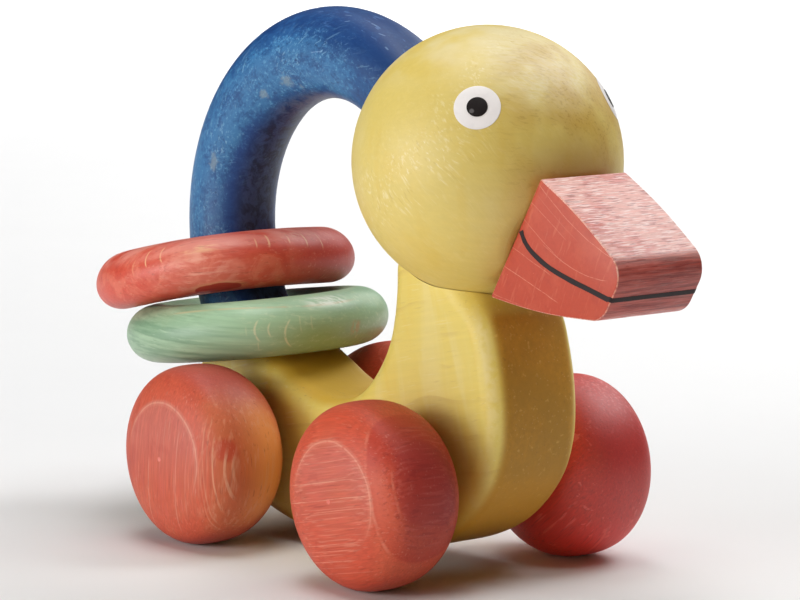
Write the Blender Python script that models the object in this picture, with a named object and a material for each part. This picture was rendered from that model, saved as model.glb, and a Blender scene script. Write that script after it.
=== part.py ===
"""Wooden duck grasping toy on wheels, for Blender 4.5.

A slab-shaped body carries a ball head with a block beak.  A bent round
handle runs from the tail up over the back and into the head, and two loose
rings hang on it.  Four thick domed wheels sit in pairs on two wooden axles
that turn in the body.

Units are metres, +Z is up, the duck looks along +X and stands on the plane
z = 0.  The origin is under the middle of the toy.  The sizes below are in
millimetres, in the same frame.
"""
import bpy
import bmesh
from math import sin, cos, radians, pi, sqrt, atan2
from mathutils import Matrix, Vector

MM = 0.001
GAP = 0.30                       # air left between pieces that touch

# ---------------------------------------------------------------- sizes (mm)
WHEEL_R = 17.5                   # rolling radius at the widest place
WHEEL_MID_Y = 24.4               # widest place, from the middle plane
WHEEL_IN_Y = 11.9                # flat inner face, beside the body
WHEEL_IN_T = 13.2                # depth of the inner dome, were it not cut flat
WHEEL_IN_N = 2.4                 # fullness of the inner dome
WHEEL_OUT_T = 10.0               # depth of the outer dome
WHEEL_OUT_N = 3.0                # fullness of the outer dome
WHEEL_SEGMENTS = 36
WHEEL_BORE_DEPTH = 14.0

AXLE_R = 3.0
AXLE_HALF = 25.2
AXLE_BORE_R = 3.5                # running hole through the body
WHEEL_BORE_R = AXLE_R + GAP      # glued hole in the wheel
AXLE_Z = WHEEL_R * cos(pi / WHEEL_SEGMENTS)
REAR_AXLE_X = -25.4
WHEELBASE = 52.4
FRONT_AXLE_X = REAR_AXLE_X + WHEELBASE

BODY_T = 22.0                    # thickness of the body slab
BODY_EDGE_R = 4.6                # rounding along its edges
BELLY_Z = 2.6

HEAD_R = 25.0
HEAD_X, HEAD_Z = 30.4, 77.4

BEAK_T = 20.5
BEAK_DOWN = 30.3                 # how far the beak's seat looks down, degrees
BEAK_SEAT = 22.5                 # seat's distance from the ball's middle
NOSE_R = 4.6                     # the nose is two arcs of this radius, one above the other
NOSE_TIP = (72.1, 61.5)
NOSE_CHIN = (70.0, 57.9)
NOSE_BACK = 29.6                 # lean of the flat between them, degrees

HANDLE_X, HANDLE_Z = -12.6, 59.6  # middle of the handle's circle
HANDLE_BEND_R = 35.3             # radius of the handle's centreline
HANDLE_SEC_R = 8.95              # half thickness in the plane of the bend
HANDLE_SEC_Y = 8.60              # half thickness across it
TAIL_END = -42.0                 # end on the tail, degrees above horizontal, at the back
HEAD_END = 44.0                  # end in the head, degrees above horizontal, at the front

RING_R = 20.15                   # centreline radius of both rings
RING_SEC_R = 6.2                 # half section, along the radius
RING_SEC_H = 5.75                # half section, along the ring's axis
GREEN_AT = (-39.36, 0.0, 39.02)
GREEN_TILT = (0.8, -7.7)         # about X, about Y, degrees
RED_AT = (-50.28, 0.0, 49.40)
RED_TILT = (1.5, -10.35)
RED_CUP, RED_CUP_DIR = 1.75, 50.5   # the red ring has cupped a little: depth, and the way across

DOWEL_R = 4.0
EYE_DIR = (0.613, 0.634, 0.472)  # direction of the left eye's middle; the right one is mirrored
EYE_R = 4.2
PUPIL_R = 1.85
MOUTH_W = 1.0


# ------------------------------------------------------------------ helpers
def clear():
    for o in list(bpy.data.objects):
        bpy.data.objects.remove(o, do_unlink=True)
    for block in (bpy.data.meshes, bpy.data.materials):
        for item in list(block):
            if item.users == 0:
                block.remove(item)


def finish(name, rgb, rough, metal=0.0):
    m = bpy.data.materials.new(name)
    m.use_nodes = True
    b = m.node_tree.nodes["Principled BSDF"]
    b.inputs["Base Color"].default_value = (*rgb, 1.0)
    b.inputs["Roughness"].default_value = rough
    b.inputs["Metallic"].default_value = metal
    m.diffuse_color = (*rgb, 1.0)
    return m


def empty(name, at):
    e = bpy.data.objects.new(name, None)
    e.empty_display_size = 0.01
    e.location = Vector(at) * MM
    bpy.context.collection.objects.link(e)
    return e


def place(name, bm, mat=None, at=(0, 0, 0), rot=None, parent=None, smooth=30.0):
    """Mesh in millimetres -> object in metres, at a world place, under a parent."""
    bmesh.ops.recalc_face_normals(bm, faces=bm.faces[:])
    bmesh.ops.scale(bm, vec=(MM, MM, MM), verts=bm.verts[:])
    mesh = bpy.data.meshes.new(name)
    bm.to_mesh(mesh)
    bm.free()
    if smooth:
        mesh.shade_smooth()
        mesh.set_sharp_from_angle(angle=radians(smooth))
    if mat:
        mesh.materials.append(mat)
    o = bpy.data.objects.new(name, mesh)
    bpy.context.collection.objects.link(o)
    world = Vector(at) * MM
    if parent:
        o.parent = parent
        world = world - parent.location
    o.location = world
    if rot is not None:
        o.rotation_euler = rot.to_euler()
    return o


def cutter(o):
    o.hide_render = True
    o.display_type = 'WIRE'
    return o


def cut(o, tool, name):
    m = o.modifiers.new(name, 'BOOLEAN')
    m.operation = 'DIFFERENCE'
    m.solver = 'EXACT'
    m.object = tool
    return m


def axis_frame(direction):
    """Rotation that turns +Z to the direction, keeping +Y in the middle plane's normal."""
    z = Vector(direction).normalized()
    y = Vector((0.0, 1.0, 0.0))
    x = y.cross(z).normalized()
    y = z.cross(x).normalized()
    return Matrix((x, y, z)).transposed()


def rod(radius, length, segments=24, scale_y=1.0, chamfer=0.0):
    """Round rod along Z, centred, with chamfered ends when asked for."""
    bm = bmesh.new()
    bmesh.ops.create_cone(bm, cap_ends=True, segments=segments, radius1=radius,
                          radius2=radius, depth=length)
    if chamfer:
        rims = [e for e in bm.edges
                if abs(e.verts[0].co.z - e.verts[1].co.z) < 1e-6]
        bmesh.ops.bevel(bm, geom=rims, offset=chamfer, segments=1, profile=0.5,
                        affect='EDGES')
    bmesh.ops.scale(bm, vec=(1.0, scale_y, 1.0), verts=bm.verts[:])
    return bm


def spin_closed(bm, geom, axis, cent, steps):
    bmesh.ops.spin(bm, geom=geom, axis=axis, cent=cent, steps=steps,
                   angle=2 * pi, use_duplicate=False)
    bmesh.ops.remove_doubles(bm, verts=bm.verts[:], dist=1e-4)


def turned(profile, steps, axis=(0, 1, 0)):
    """Solid of revolution about an axis through the origin.

    The profile is a list of (radius, height along the axis) that starts and
    ends on the axis, or closes on itself.
    """
    bm = bmesh.new()
    lift = Vector(axis)
    out = Vector((0, 0, 1)) if abs(lift.z) < 0.5 else Vector((1, 0, 0))
    vs = [bm.verts.new(out * r + lift * h) for r, h in profile]
    es = [bm.edges.new((a, b)) for a, b in zip(vs, vs[1:])]
    if profile[0][0] > 1e-6:
        es.append(bm.edges.new((vs[-1], vs[0])))
    spin_closed(bm, vs + es, axis, (0, 0, 0), steps)
    return bm


def smooth_outline(points, per_span):
    """Closed Catmull-Rom curve through the points.  A span whose two ends are
    marked straight stays a straight line."""
    out = []
    n = len(points)
    for i in range(n):
        p0, p1, p2, p3 = (Vector(points[(i + k) % n][:2]) for k in (-1, 0, 1, 2))
        straight = len(points[i]) > 2
        if straight:
            out.append(p1)
            continue
        if len(points[(i - 1) % n]) > 2:
            p0 = p1 - (p1 - p0).normalized() * (p2 - p1).length
        if len(points[(i + 1) % n]) > 2:
            p3 = p2 + (p3 - p2).normalized() * (p2 - p1).length
        for k in range(per_span):
            t = k / per_span
            out.append(0.5 * ((2 * p1) + (p2 - p0) * t
                              + (2 * p0 - 5 * p1 + 4 * p2 - p3) * t * t
                              + (3 * p1 - p0 - 3 * p2 + p3) * t ** 3))
    return out


def slab(outline, thickness):
    """Flat outline in XZ, extruded to a slab that is centred on y = 0."""
    bm = bmesh.new()
    face = bm.faces.new([bm.verts.new((p.x, -thickness / 2, p.y)) for p in outline])
    ext = bmesh.ops.extrude_face_region(bm, geom=[face])
    moved = [g for g in ext["geom"] if isinstance(g, bmesh.types.BMVert)]
    bmesh.ops.translate(bm, verts=moved, vec=(0, thickness, 0))
    return bm


def round_rim(o, width, segments):
    """Bevel modifier on the edges that run round the two flat sides."""
    mesh = o.data
    limit = max(abs(v.co.y) for v in mesh.vertices) - 1e-6
    weight = mesh.attributes.new("bevel_weight_edge", 'FLOAT', 'EDGE')
    for e in mesh.edges:
        a, b = (mesh.vertices[i].co.y for i in e.vertices)
        weight.data[e.index].value = 1.0 if abs(a) > limit and abs(b) > limit and a * b > 0 else 0.0
    m = o.modifiers.new("rounded_edges", 'BEVEL')
    m.limit_method = 'WEIGHT'
    m.offset_type = 'OFFSET'
    m.width = width * MM
    m.segments = segments
    m.profile = 0.5
    m.use_clamp_overlap = False
    return m


# ----------------------------------------------------------------- finishes
def finishes():
    return {
        "yellow": finish("glazed_wood_yellow", (0.66, 0.47, 0.12), 0.45),
        "red": finish("glazed_wood_red", (0.52, 0.10, 0.06), 0.5),
        "beak": finish("glazed_wood_beak", (0.60, 0.13, 0.07), 0.45),
        "blue": finish("glazed_wood_blue", (0.03, 0.13, 0.36), 0.45),
        "green": finish("glazed_wood_green", (0.22, 0.44, 0.27), 0.5),
        "white": finish("paint_white", (0.82, 0.80, 0.78), 0.3),
        "black": finish("paint_black", (0.015, 0.012, 0.012), 0.25),
        "bare": finish("bare_wood", (0.62, 0.45, 0.26), 0.6),
    }


# -------------------------------------------------------------------- wheels
def dome(r, depth, fullness):
    """Height of a superelliptic dome at radius r, from its widest place."""
    return depth * (1.0 - (r / WHEEL_R) ** fullness) ** (1.0 / fullness)


def wheel_profile():
    """(radius, distance from the inner face) from the bore round the outside to the pole."""
    mid = WHEEL_MID_Y - WHEEL_IN_Y
    flat = WHEEL_R * (1.0 - (mid / WHEEL_IN_T) ** WHEEL_IN_N) ** (1.0 / WHEEL_IN_N)
    pts = [(0.0, WHEEL_BORE_DEPTH), (WHEEL_BORE_R, WHEEL_BORE_DEPTH), (WHEEL_BORE_R, 0.0)]
    a0 = atan2(mid, flat)
    steps = 5
    for k in range(steps + 1):
        a = a0 * (1.0 - k / steps)
        r = WHEEL_R * cos(a) ** (2.0 / WHEEL_IN_N) if k else flat
        r = min(r, WHEEL_R)
        pts.append((r, mid - (dome(r, WHEEL_IN_T, WHEEL_IN_N) if k else mid)))
    steps = 6
    for k in range(1, steps):
        a = (pi / 2) * k / steps
        r = WHEEL_R * cos(a) ** (2.0 / WHEEL_OUT_N)
        pts.append((r, mid + WHEEL_OUT_T * sin(a) ** (2.0 / WHEEL_OUT_N)))
    pts.append((0.0, mid + WHEEL_OUT_T))
    return pts


def wheel(name, side, pivot, mat):
    bm = turned(wheel_profile(), WHEEL_SEGMENTS)
    # a flat of the rim rests on the ground
    bmesh.ops.rotate(bm, verts=bm.verts[:], cent=(0, 0, 0),
                     matrix=Matrix.Rotation(pi / WHEEL_SEGMENTS, 3, 'Y'))
    if side < 0:
        bmesh.ops.rotate(bm, verts=bm.verts[:], cent=(0, 0, 0),
                         matrix=Matrix.Rotation(pi, 3, 'Z'))
    at = pivot.location / MM + Vector((0, side * WHEEL_IN_Y, 0))
    return place(name, bm, mat, at, parent=pivot)


def axle(name, pivot, mat):
    bm = rod(AXLE_R, 2 * AXLE_HALF, chamfer=0.5)
    bmesh.ops.rotate(bm, verts=bm.verts[:], cent=(0, 0, 0),
                     matrix=Matrix.Rotation(pi / 2, 3, 'X'))
    return place(name, bm, mat, pivot.location / MM, parent=pivot)


# ---------------------------------------------------------------------- body
def body_outline():
    """Side outline of the body.  A third entry marks a straight span.

    The top of the neck and the tip of the tail run on past their real ends:
    the head's ball and the handle's seat cut them back.
    """
    o = REAR_AXLE_X
    pts = [
        # belly and chest, forwards and up
        (14.0, BELLY_Z, 's'), (34.0, BELLY_Z), (44.4, 3.9), (53.0, 6.6), (59.7, 10.2),
        (65.0, 14.9), (68.9, 20.4), (70.9, 26.5), (71.3, 32.5), (70.7, 38.5),
        (69.3, 44.5), (67.6, 49.3), (64.6, 52.8), (60.0, 56.5),
        # inside the head's seat
        (56.8, 61.0), (52.0, 64.8), (46.4, 65.4), (42.2, 62.9),
        # back of the neck, down to the saddle
        (40.6, 58.0), (40.4, 53.0), (39.8, 48.0), (38.3, 42.6), (35.0, 37.2), (30.2, 32.4),
        (24.5, 29.9), (18.5, 29.5), (11.6, 31.1), (5.0, 34.1),
        # up to the tail, past the handle's seat
        (-0.8, 36.9), (-5.0, 39.6), (-8.2, 43.6), (-12.6, 46.2), (-17.6, 44.6), (-20.8, 39.6),
        # rump, down to the belly
        (-21.4, 33.6), (-21.0, 27.6), (-19.4, 21.6), (-16.0, 15.8), (-10.6, 10.4), (-3.0, 6.5),
        (5.5, 3.9),
    ]
    return smooth_outline([(p[0] + o, *p[1:]) for p in pts], 2)


def handle_point(angle, rho=HANDLE_BEND_R):
    """Point of the handle's centreline: 0 at the back, 90 on top, 180 in front."""
    a = radians(angle)
    return Vector((HANDLE_X - rho * cos(a), 0.0, HANDLE_Z + rho * sin(a)))


def handle_dir(angle):
    """Direction of the handle there, from the tail towards the head."""
    a = radians(angle)
    return Vector((sin(a), 0.0, cos(a)))


def body(mats, tools):
    o = place("body_block", slab(body_outline(), BODY_T), mats["yellow"])
    round_rim(o, BODY_EDGE_R, 3)
    for t, n in tools:
        cut(o, t, n)
    return o


# ---------------------------------------------------------------------- head
def head_centre():
    return Vector((HEAD_X, 0.0, HEAD_Z))


def ball(radius, segments=36, rings=22):
    bm = bmesh.new()
    bmesh.ops.create_uvsphere(bm, u_segments=segments, v_segments=rings, radius=radius)
    return bm


def beak_dir():
    a = radians(BEAK_DOWN)
    return Vector((cos(a), 0.0, -sin(a)))


def beak_outline(grow=0.0):
    """Side outline of the beak, from the top of its seat over the nose to the
    bottom of its seat.  grow moves the outside outwards."""
    seat = beak_dir()
    up = Vector((-seat.z, 0.0, seat.x))
    mid = head_centre() + seat * (BEAK_SEAT + GAP)
    top = mid + up * 12.8
    low = mid - up * 13.3
    tip, chin, r = NOSE_TIP, NOSE_CHIN, NOSE_R + grow
    pts = [Vector((top.x, top.z))]
    start = Vector((tip[0] + r * cos(radians(55)), tip[1] + r * sin(radians(55))))
    bow = (start - pts[0]).orthogonal().normalized()
    bow = bow if bow.y > 0 else -bow
    for k in range(1, 4):                    # the top is very slightly crowned
        t = k / 4
        pts.append(pts[0].lerp(start, t) + bow * 0.55 * sin(pi * t))
    for mid, a0, a1 in ((tip, 55.0, -NOSE_BACK), (chin, -NOSE_BACK, -92.0)):
        for k in range(5):
            a = radians(a0 + (a1 - a0) * k / 4)
            pts.append(Vector((mid[0] + r * cos(a), mid[1] + r * sin(a))))
    end = Vector((low.x, low.z))
    last = pts[-1]
    for k in range(1, 4):                    # and so is the bottom
        t = k / 4
        pts.append(last.lerp(end, t) + Vector((0.0, -0.7 * sin(pi * t))))
    pts.append(end)
    return pts


def beak(mats, tools):
    o = place("beak", slab(beak_outline(), BEAK_T), mats["beak"])
    m = o.modifiers.new("eased_edges", 'BEVEL')
    m.limit_method = 'ANGLE'
    m.angle_limit = radians(50)
    m.width = 0.4 * MM
    m.segments = 1
    for t, n in tools:
        cut(o, t, n)
    return o


def mouth_curve():
    """The painted mouth's line on the beak's side, from its corner to the nose."""
    pts = [(51.5, 67.3), (52.4, 65.6), (54.4, 63.8), (58.5, 61.7), (64.0, 60.0),
           (69.5, 58.7), (74.8, 57.4)]
    out = []
    for i in range(len(pts) - 1):
        p0 = Vector(pts[max(i - 1, 0)])
        p1, p2 = Vector(pts[i]), Vector(pts[i + 1])
        p3 = Vector(pts[min(i + 2, len(pts) - 1)])
        for k in range(3):
            t = k / 3
            out.append(0.5 * (2 * p1 + (p2 - p0) * t + (2 * p0 - 5 * p1 + 4 * p2 - p3) * t * t
                              + (3 * p1 - p0 - 3 * p2 + p3) * t ** 3))
    out.append(Vector(pts[-1]))
    return out


def mouth_line(mats):
    """Thin film of paint: along the right side, over the nose, back along the left side."""
    film, off = 0.2, 0.2
    side = mouth_curve()
    half = BEAK_T / 2 + off
    lean = radians(-NOSE_BACK)
    out = Vector((cos(lean), 0, sin(lean)))
    up = Vector((-out.z, 0, out.x))
    base = Vector((NOSE_CHIN[0], 0, NOSE_CHIN[1])) + out * (NOSE_R + off)
    tip = base + up * ((side[-1].y - base.z) / up.z)
    path = []                                # (point, outward direction, across direction)
    for i, p in enumerate(side[:-2]):
        a, b = side[max(i - 1, 0)], side[i + 1]
        t = (b - a).normalized()
        path.append((Vector((p.x, -half, p.y)), Vector((0, -1, 0)), Vector((-t.y, 0, t.x))))
    corner = Vector((tip.x, -half, tip.z))
    path.append((corner, (out + Vector((0, -1, 0))), up))
    mirror = [(Vector((p.x, -p.y, p.z)), Vector((n.x, -n.y, n.z)), a) for p, n, a in reversed(path)]
    path += mirror
    bm = bmesh.new()
    loops = []
    for p, n, a in path:
        loops.append([bm.verts.new(p + a * s * MOUTH_W / 2 + n * d)
                      for s, d in ((-1, 0), (1, 0), (1, film), (-1, film))])
    for l0, l1 in zip(loops, loops[1:]):
        for k in range(4):
            bm.faces.new((l0[k], l0[(k + 1) % 4], l1[(k + 1) % 4], l1[k]))
    bm.faces.new(loops[0])
    bm.faces.new(loops[-1][::-1])
    return place("mouth_line", bm, mats["black"], smooth=None)


def eye(name, side, inner, outer, mat):
    """Film of paint on the ball: a ring when inner is above zero, else a disc."""
    lo, hi = HEAD_R + 0.2, HEAD_R + 0.4
    steps = 2
    a0, a1 = inner / HEAD_R, outer / HEAD_R
    under = [(lo * sin(a0 + (a1 - a0) * k / steps), lo * cos(a0 + (a1 - a0) * k / steps))
             for k in range(steps + 1)]
    over = [(hi * sin(a1 + (a0 - a1) * k / steps), hi * cos(a1 + (a0 - a1) * k / steps))
            for k in range(steps + 1)]
    bm = turned(under + over, 22, axis=(0, 0, 1))
    d = Vector((EYE_DIR[0], side * EYE_DIR[1], EYE_DIR[2]))
    return place(name, bm, mat, head_centre(), rot=axis_frame(d))


# ------------------------------------------------------------ handle and rings
def handle(mats, tools):
    """Round bar bent to an arc, between its two square-cut ends."""
    a0, a1 = TAIL_END, 180.0 - HEAD_END
    first = handle_point(a0)
    bm = bmesh.new()
    back = Vector((-cos(radians(a0)), 0, sin(radians(a0))))
    n = 20
    vs = [bm.verts.new(first + back * HANDLE_SEC_R * cos(2 * pi * k / n)
                       + Vector((0, 1, 0)) * HANDLE_SEC_Y * sin(2 * pi * k / n))
          for k in range(n)]
    face = bm.faces.new(vs)
    bmesh.ops.spin(bm, geom=[face] + face.edges[:] + vs, axis=(0, 1, 0),
                   cent=(HANDLE_X, 0, HANDLE_Z), steps=26,
                   angle=radians(a1 - a0), use_duplicate=False)
    o = place("arch_handle", bm, mats["blue"])
    for t, nme in tools:
        cut(o, t, nme)
    return o


def ring(name, at, tilt, mat, pivot, cup=0.0, cup_dir=0.0):
    n = 14
    section = [(RING_R + RING_SEC_R * cos(2 * pi * k / n), RING_SEC_H * sin(2 * pi * k / n))
               for k in range(n)]
    bm = turned(section, 36, axis=(0, 0, 1))
    for v in bm.verts:
        s = (v.co.x * cos(radians(cup_dir)) + v.co.y * sin(radians(cup_dir))) / (RING_R + RING_SEC_R)
        v.co.z -= cup * (s * s - 0.5)
    rot = (Matrix.Rotation(radians(tilt[1]), 3, 'Y') @ Matrix.Rotation(radians(tilt[0]), 3, 'X'))
    return place(name, bm, mat, at, rot=rot, parent=pivot)


# ------------------------------------------------------------------- assembly
def build():
    clear()
    mats = finishes()

    front = empty("front_axle_line", (FRONT_AXLE_X, 0, AXLE_Z))
    rear = empty("rear_axle_line", (REAR_AXLE_X, 0, AXLE_Z))
    swing = empty("handle_centre_line", (HANDLE_X, 0, HANDLE_Z))

    # tools that cut the joints
    hc = head_centre()
    ball_cut = cutter(place("cut_head_seat", ball(HEAD_R + GAP, 40, 24), at=hc))

    def bore(name, centre, direction, radius, length, scale_y=1.0, segments=24):
        return cutter(place(name, rod(radius, length, segments, scale_y),
                            at=centre, rot=axis_frame(direction)))

    bore_front = bore("cut_front_axle", (FRONT_AXLE_X, 0, AXLE_Z), (0, 1, 0.0001), AXLE_BORE_R, 40.0)
    bore_rear = bore("cut_rear_axle", (REAR_AXLE_X, 0, AXLE_Z), (0, 1, 0.0001), AXLE_BORE_R, 40.0)

    # neck dowel, on the line from the neck's middle to the ball's middle
    neck_dir = Vector((4.4, 0, 36.0)).normalized()
    neck_mid = hc - neck_dir * HEAD_R
    bore_neck = bore("cut_neck_dowel", neck_mid, neck_dir, DOWEL_R + GAP, 28.0)

    # beak seat and dowel
    bd = beak_dir()
    seat_mid = hc + bd * BEAK_SEAT
    block = bmesh.new()
    bmesh.ops.create_cube(block, size=1.0)
    bmesh.ops.scale(block, vec=(40, 60, 20), verts=block.verts[:])
    flat_cut = cutter(place("cut_beak_seat", block, at=seat_mid + bd * 10.0, rot=axis_frame(bd)))
    bore_beak = bore("cut_beak_dowel", seat_mid, bd, DOWEL_R + GAP, 22.0)

    # handle: seat and dowel on the tail, socket in the head
    ta = handle_point(TAIL_END)
    td = handle_dir(TAIL_END)
    block = bmesh.new()
    bmesh.ops.create_cube(block, size=1.0)
    bmesh.ops.scale(block, vec=(60, 60, 30), verts=block.verts[:])
    tail_cut = cutter(place("cut_tail_seat", block, at=ta + td * (15.0 - GAP), rot=axis_frame(td)))
    bore_tail = bore("cut_tail_dowel", ta, td, DOWEL_R + GAP, 18.0)
    ha = handle_point(180.0 - HEAD_END)
    hd = handle_dir(180.0 - (HEAD_END + 5.5))
    socket = bore("cut_handle_socket", handle_point(180.0 - (HEAD_END + 5.5)) - hd * (12.0 - 4.7),
                  hd, HANDLE_SEC_R + 0.5, 24.0,
                  scale_y=(HANDLE_SEC_Y + 0.5) / (HANDLE_SEC_R + 0.5), segments=28)

    # pieces
    body(mats, ((ball_cut, "head_seat"), (tail_cut, "tail_seat"), (bore_front, "front_axle_hole"),
                (bore_rear, "rear_axle_hole"), (bore_neck, "neck_dowel_hole"),
                (bore_tail, "tail_dowel_hole")))
    head = place("head_ball", ball(HEAD_R), mats["yellow"], hc)
    for t, n in ((flat_cut, "beak_seat"), (bore_neck, "neck_dowel_hole"),
                 (bore_beak, "beak_dowel_hole"), (socket, "handle_socket")):
        cut(head, t, n)
    beak(mats, ((bore_beak, "beak_dowel_hole"),))
    mouth_line(mats)
    for side, word in ((1, "left"), (-1, "right")):
        eye("eye_white_" + word, side, PUPIL_R + 0.2, EYE_R, mats["white"])
        eye("pupil_" + word, side, 0.0, PUPIL_R, mats["black"])

    handle(mats, ((bore_tail, "tail_dowel_hole"),))
    place("neck_dowel", rod(DOWEL_R, 26.0, chamfer=0.5), mats["bare"], neck_mid,
          rot=axis_frame(neck_dir))
    place("beak_dowel", rod(DOWEL_R, 20.0, chamfer=0.5), mats["bare"], seat_mid,
          rot=axis_frame(bd))
    place("tail_dowel", rod(DOWEL_R, 16.0, chamfer=0.5), mats["bare"], ta, rot=axis_frame(td))

    ring("ring_green", GREEN_AT, GREEN_TILT, mats["green"], swing)
    ring("ring_red", RED_AT, RED_TILT, mats["red"], swing, RED_CUP, RED_CUP_DIR)

    for pivot, word in ((front, "front"), (rear, "rear")):
        axle(word + "_axle", pivot, mats["bare"])
        wheel("wheel_" + word + "_left", 1, pivot, mats["red"])
        wheel("wheel_" + word + "_right", -1, pivot, mats["red"])


build()
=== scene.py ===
"""Looks of the wooden duck grasping toy: fine surfaces, glazed wood, studio."""
from math import sin, cos, radians, pi, sqrt, atan2, asin, acos

import bmesh
import bpy
import numpy as np
from mathutils import Matrix, Vector, noise as mnoise


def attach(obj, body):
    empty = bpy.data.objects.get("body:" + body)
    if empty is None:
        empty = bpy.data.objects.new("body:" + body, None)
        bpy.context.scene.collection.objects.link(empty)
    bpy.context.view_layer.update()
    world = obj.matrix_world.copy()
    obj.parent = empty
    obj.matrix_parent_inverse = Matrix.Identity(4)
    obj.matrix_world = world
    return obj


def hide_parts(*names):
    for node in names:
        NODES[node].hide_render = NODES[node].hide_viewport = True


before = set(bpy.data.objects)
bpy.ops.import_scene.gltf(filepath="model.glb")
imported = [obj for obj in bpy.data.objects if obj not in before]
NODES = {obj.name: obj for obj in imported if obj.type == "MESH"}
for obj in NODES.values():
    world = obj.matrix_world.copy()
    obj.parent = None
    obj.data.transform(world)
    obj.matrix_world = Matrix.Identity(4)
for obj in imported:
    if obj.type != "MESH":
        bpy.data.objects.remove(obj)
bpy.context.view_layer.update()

MM = 0.001

# ------------------------------------------------------------------ sizes, mm
# the same figures as the solids, in the same frame
AXLE_Z = 17.433
REAR_X, FRONT_X = -25.4, 27.0
WHEEL_R, WHEEL_MID_Y, WHEEL_IN_Y = 17.43, 24.4, 11.9
WHEEL_IN_T, WHEEL_IN_N, WHEEL_OUT_T, WHEEL_OUT_N = 13.2, 2.4, 10.0, 3.0
BODY_T, BODY_EDGE_R, BELLY_Z = 22.0, 4.6, 2.6
HEAD = Vector((30.4, 0.0, 77.4))
HEAD_R = 25.0
BEAK_T, BEAK_DOWN, BEAK_SEAT = 20.5, 30.3, 22.5
NOSE_R, NOSE_TIP, NOSE_CHIN, NOSE_BACK = 4.6, (72.1, 61.5), (70.0, 57.9), 29.6
ARC_X, ARC_Z, ARC_R, ARC_SEC_R, ARC_SEC_Y = -12.6, 59.6, 35.3, 8.92, 8.58
ARC_FROM, ARC_TO = -42.0, 136.0
RING_R, RING_SEC_R, RING_SEC_H = 20.15, 6.19, 5.74
GREEN_AT, GREEN_TILT = Vector((-39.36, 0.0, 39.02)), (0.8, -7.7)
RED_AT, RED_TILT = Vector((-50.28, 0.0, 49.40)), (1.5, -10.35)
RED_CUP, RED_CUP_DIR = 1.75, 50.5
EYE_DIR = (0.613, 0.634, 0.472)


# --------------------------------------------------------------- mesh helpers
def obj_from(name, verts, faces, mat, smooth=True, sharp=None):
    """verts in mm"""
    me = bpy.data.meshes.new(name)
    me.from_pydata([tuple(float(c) * MM for c in v) for v in verts], [], faces)
    me.validate()
    o = bpy.data.objects.new(name, me)
    bpy.context.scene.collection.objects.link(o)
    if smooth:
        me.shade_smooth()
        if sharp:
            me.set_sharp_from_angle(angle=radians(sharp))
    if mat is not None:
        me.materials.append(mat)
    return o


def grid_faces(n, m, close_n=True, close_m=True, flip=False):
    faces = []
    for i in range(n if close_n else n - 1):
        for j in range(m if close_m else m - 1):
            a, b = i * m + j, i * m + (j + 1) % m
            c, d = ((i + 1) % n) * m + (j + 1) % m, ((i + 1) % n) * m + j
            faces.append((a, d, c, b) if flip else (a, b, c, d))
    return faces


def outward(o):
    """Turns every face of a closed mesh outwards."""
    bm = bmesh.new()
    bm.from_mesh(o.data)
    bmesh.ops.recalc_face_normals(bm, faces=bm.faces[:])
    if bm.calc_volume(signed=True) < 0:
        bmesh.ops.reverse_faces(bm, faces=bm.faces[:])
    bm.to_mesh(o.data)
    bm.free()
    o.data.update()


def revolve(name, profile, steps, frame_axes, at, mat, smooth_angle=32.0):
    """profile: (radius, height) from the axis round to the axis.  frame_axes are
    the across, other across and along directions."""
    ax, ay, az = (Vector(v) for v in frame_axes)
    verts, rows = [], []
    for r, h in profile:
        if r < 1e-6:
            rows.append([len(verts)])
            verts.append(at + az * h)
        else:
            rows.append(list(range(len(verts), len(verts) + steps)))
            for k in range(steps):
                a = 2 * pi * k / steps
                verts.append(at + (ax * cos(a) + ay * sin(a)) * r + az * h)
    faces = []
    for r0, r1 in zip(rows, rows[1:]):
        for k in range(steps):
            q = [r0[k % len(r0)], r0[(k + 1) % len(r0)], r1[(k + 1) % len(r1)], r1[k % len(r1)]]
            q = [v for i, v in enumerate(q) if v not in q[:i]]
            if len(q) > 2:
                faces.append(q)
    o = obj_from(name, verts, faces, mat, sharp=smooth_angle)
    outward(o)
    return o


def apply_modifiers(o):
    dg = bpy.context.evaluated_depsgraph_get()
    me = bpy.data.meshes.new_from_object(o.evaluated_get(dg))
    old = o.data
    o.modifiers.clear()
    o.data = me
    me.name = o.name
    bpy.data.meshes.remove(old)


def subtract(o, *cutters):
    for c in cutters:
        m = o.modifiers.new("cut", 'BOOLEAN')
        m.operation, m.solver, m.object = 'DIFFERENCE', 'EXACT', c
    bpy.context.view_layer.update()
    apply_modifiers(o)
    for c in set(cutters):
        me = c.data
        bpy.data.objects.remove(c, do_unlink=True)
        bpy.data.meshes.remove(me)
    o.data.shade_smooth()
    o.data.set_sharp_from_angle(angle=radians(30))


def smooth_outline(points, per_span):
    out, n = [], len(points)
    for i in range(n):
        p0, p1, p2, p3 = (Vector(points[(i + k) % n][:2]) for k in (-1, 0, 1, 2))
        straight = len(points[i]) > 2
        if straight:
            out.append(p1)
            continue
        if len(points[(i - 1) % n]) > 2:
            p0 = p1 - (p1 - p0).normalized() * (p2 - p1).length
        if len(points[(i + 1) % n]) > 2:
            p3 = p2 + (p3 - p2).normalized() * (p2 - p1).length
        for k in range(per_span):
            t = k / per_span
            out.append(0.5 * ((2 * p1) + (p2 - p0) * t
                              + (2 * p0 - 5 * p1 + 4 * p2 - p3) * t * t
                              + (3 * p1 - p0 - 3 * p2 + p3) * t ** 3))
    return out


def axis_frame(direction):
    z = Vector(direction).normalized()
    x = Vector((0.0, 1.0, 0.0)).cross(z).normalized()
    y = z.cross(x).normalized()
    return x, y, z


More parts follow.
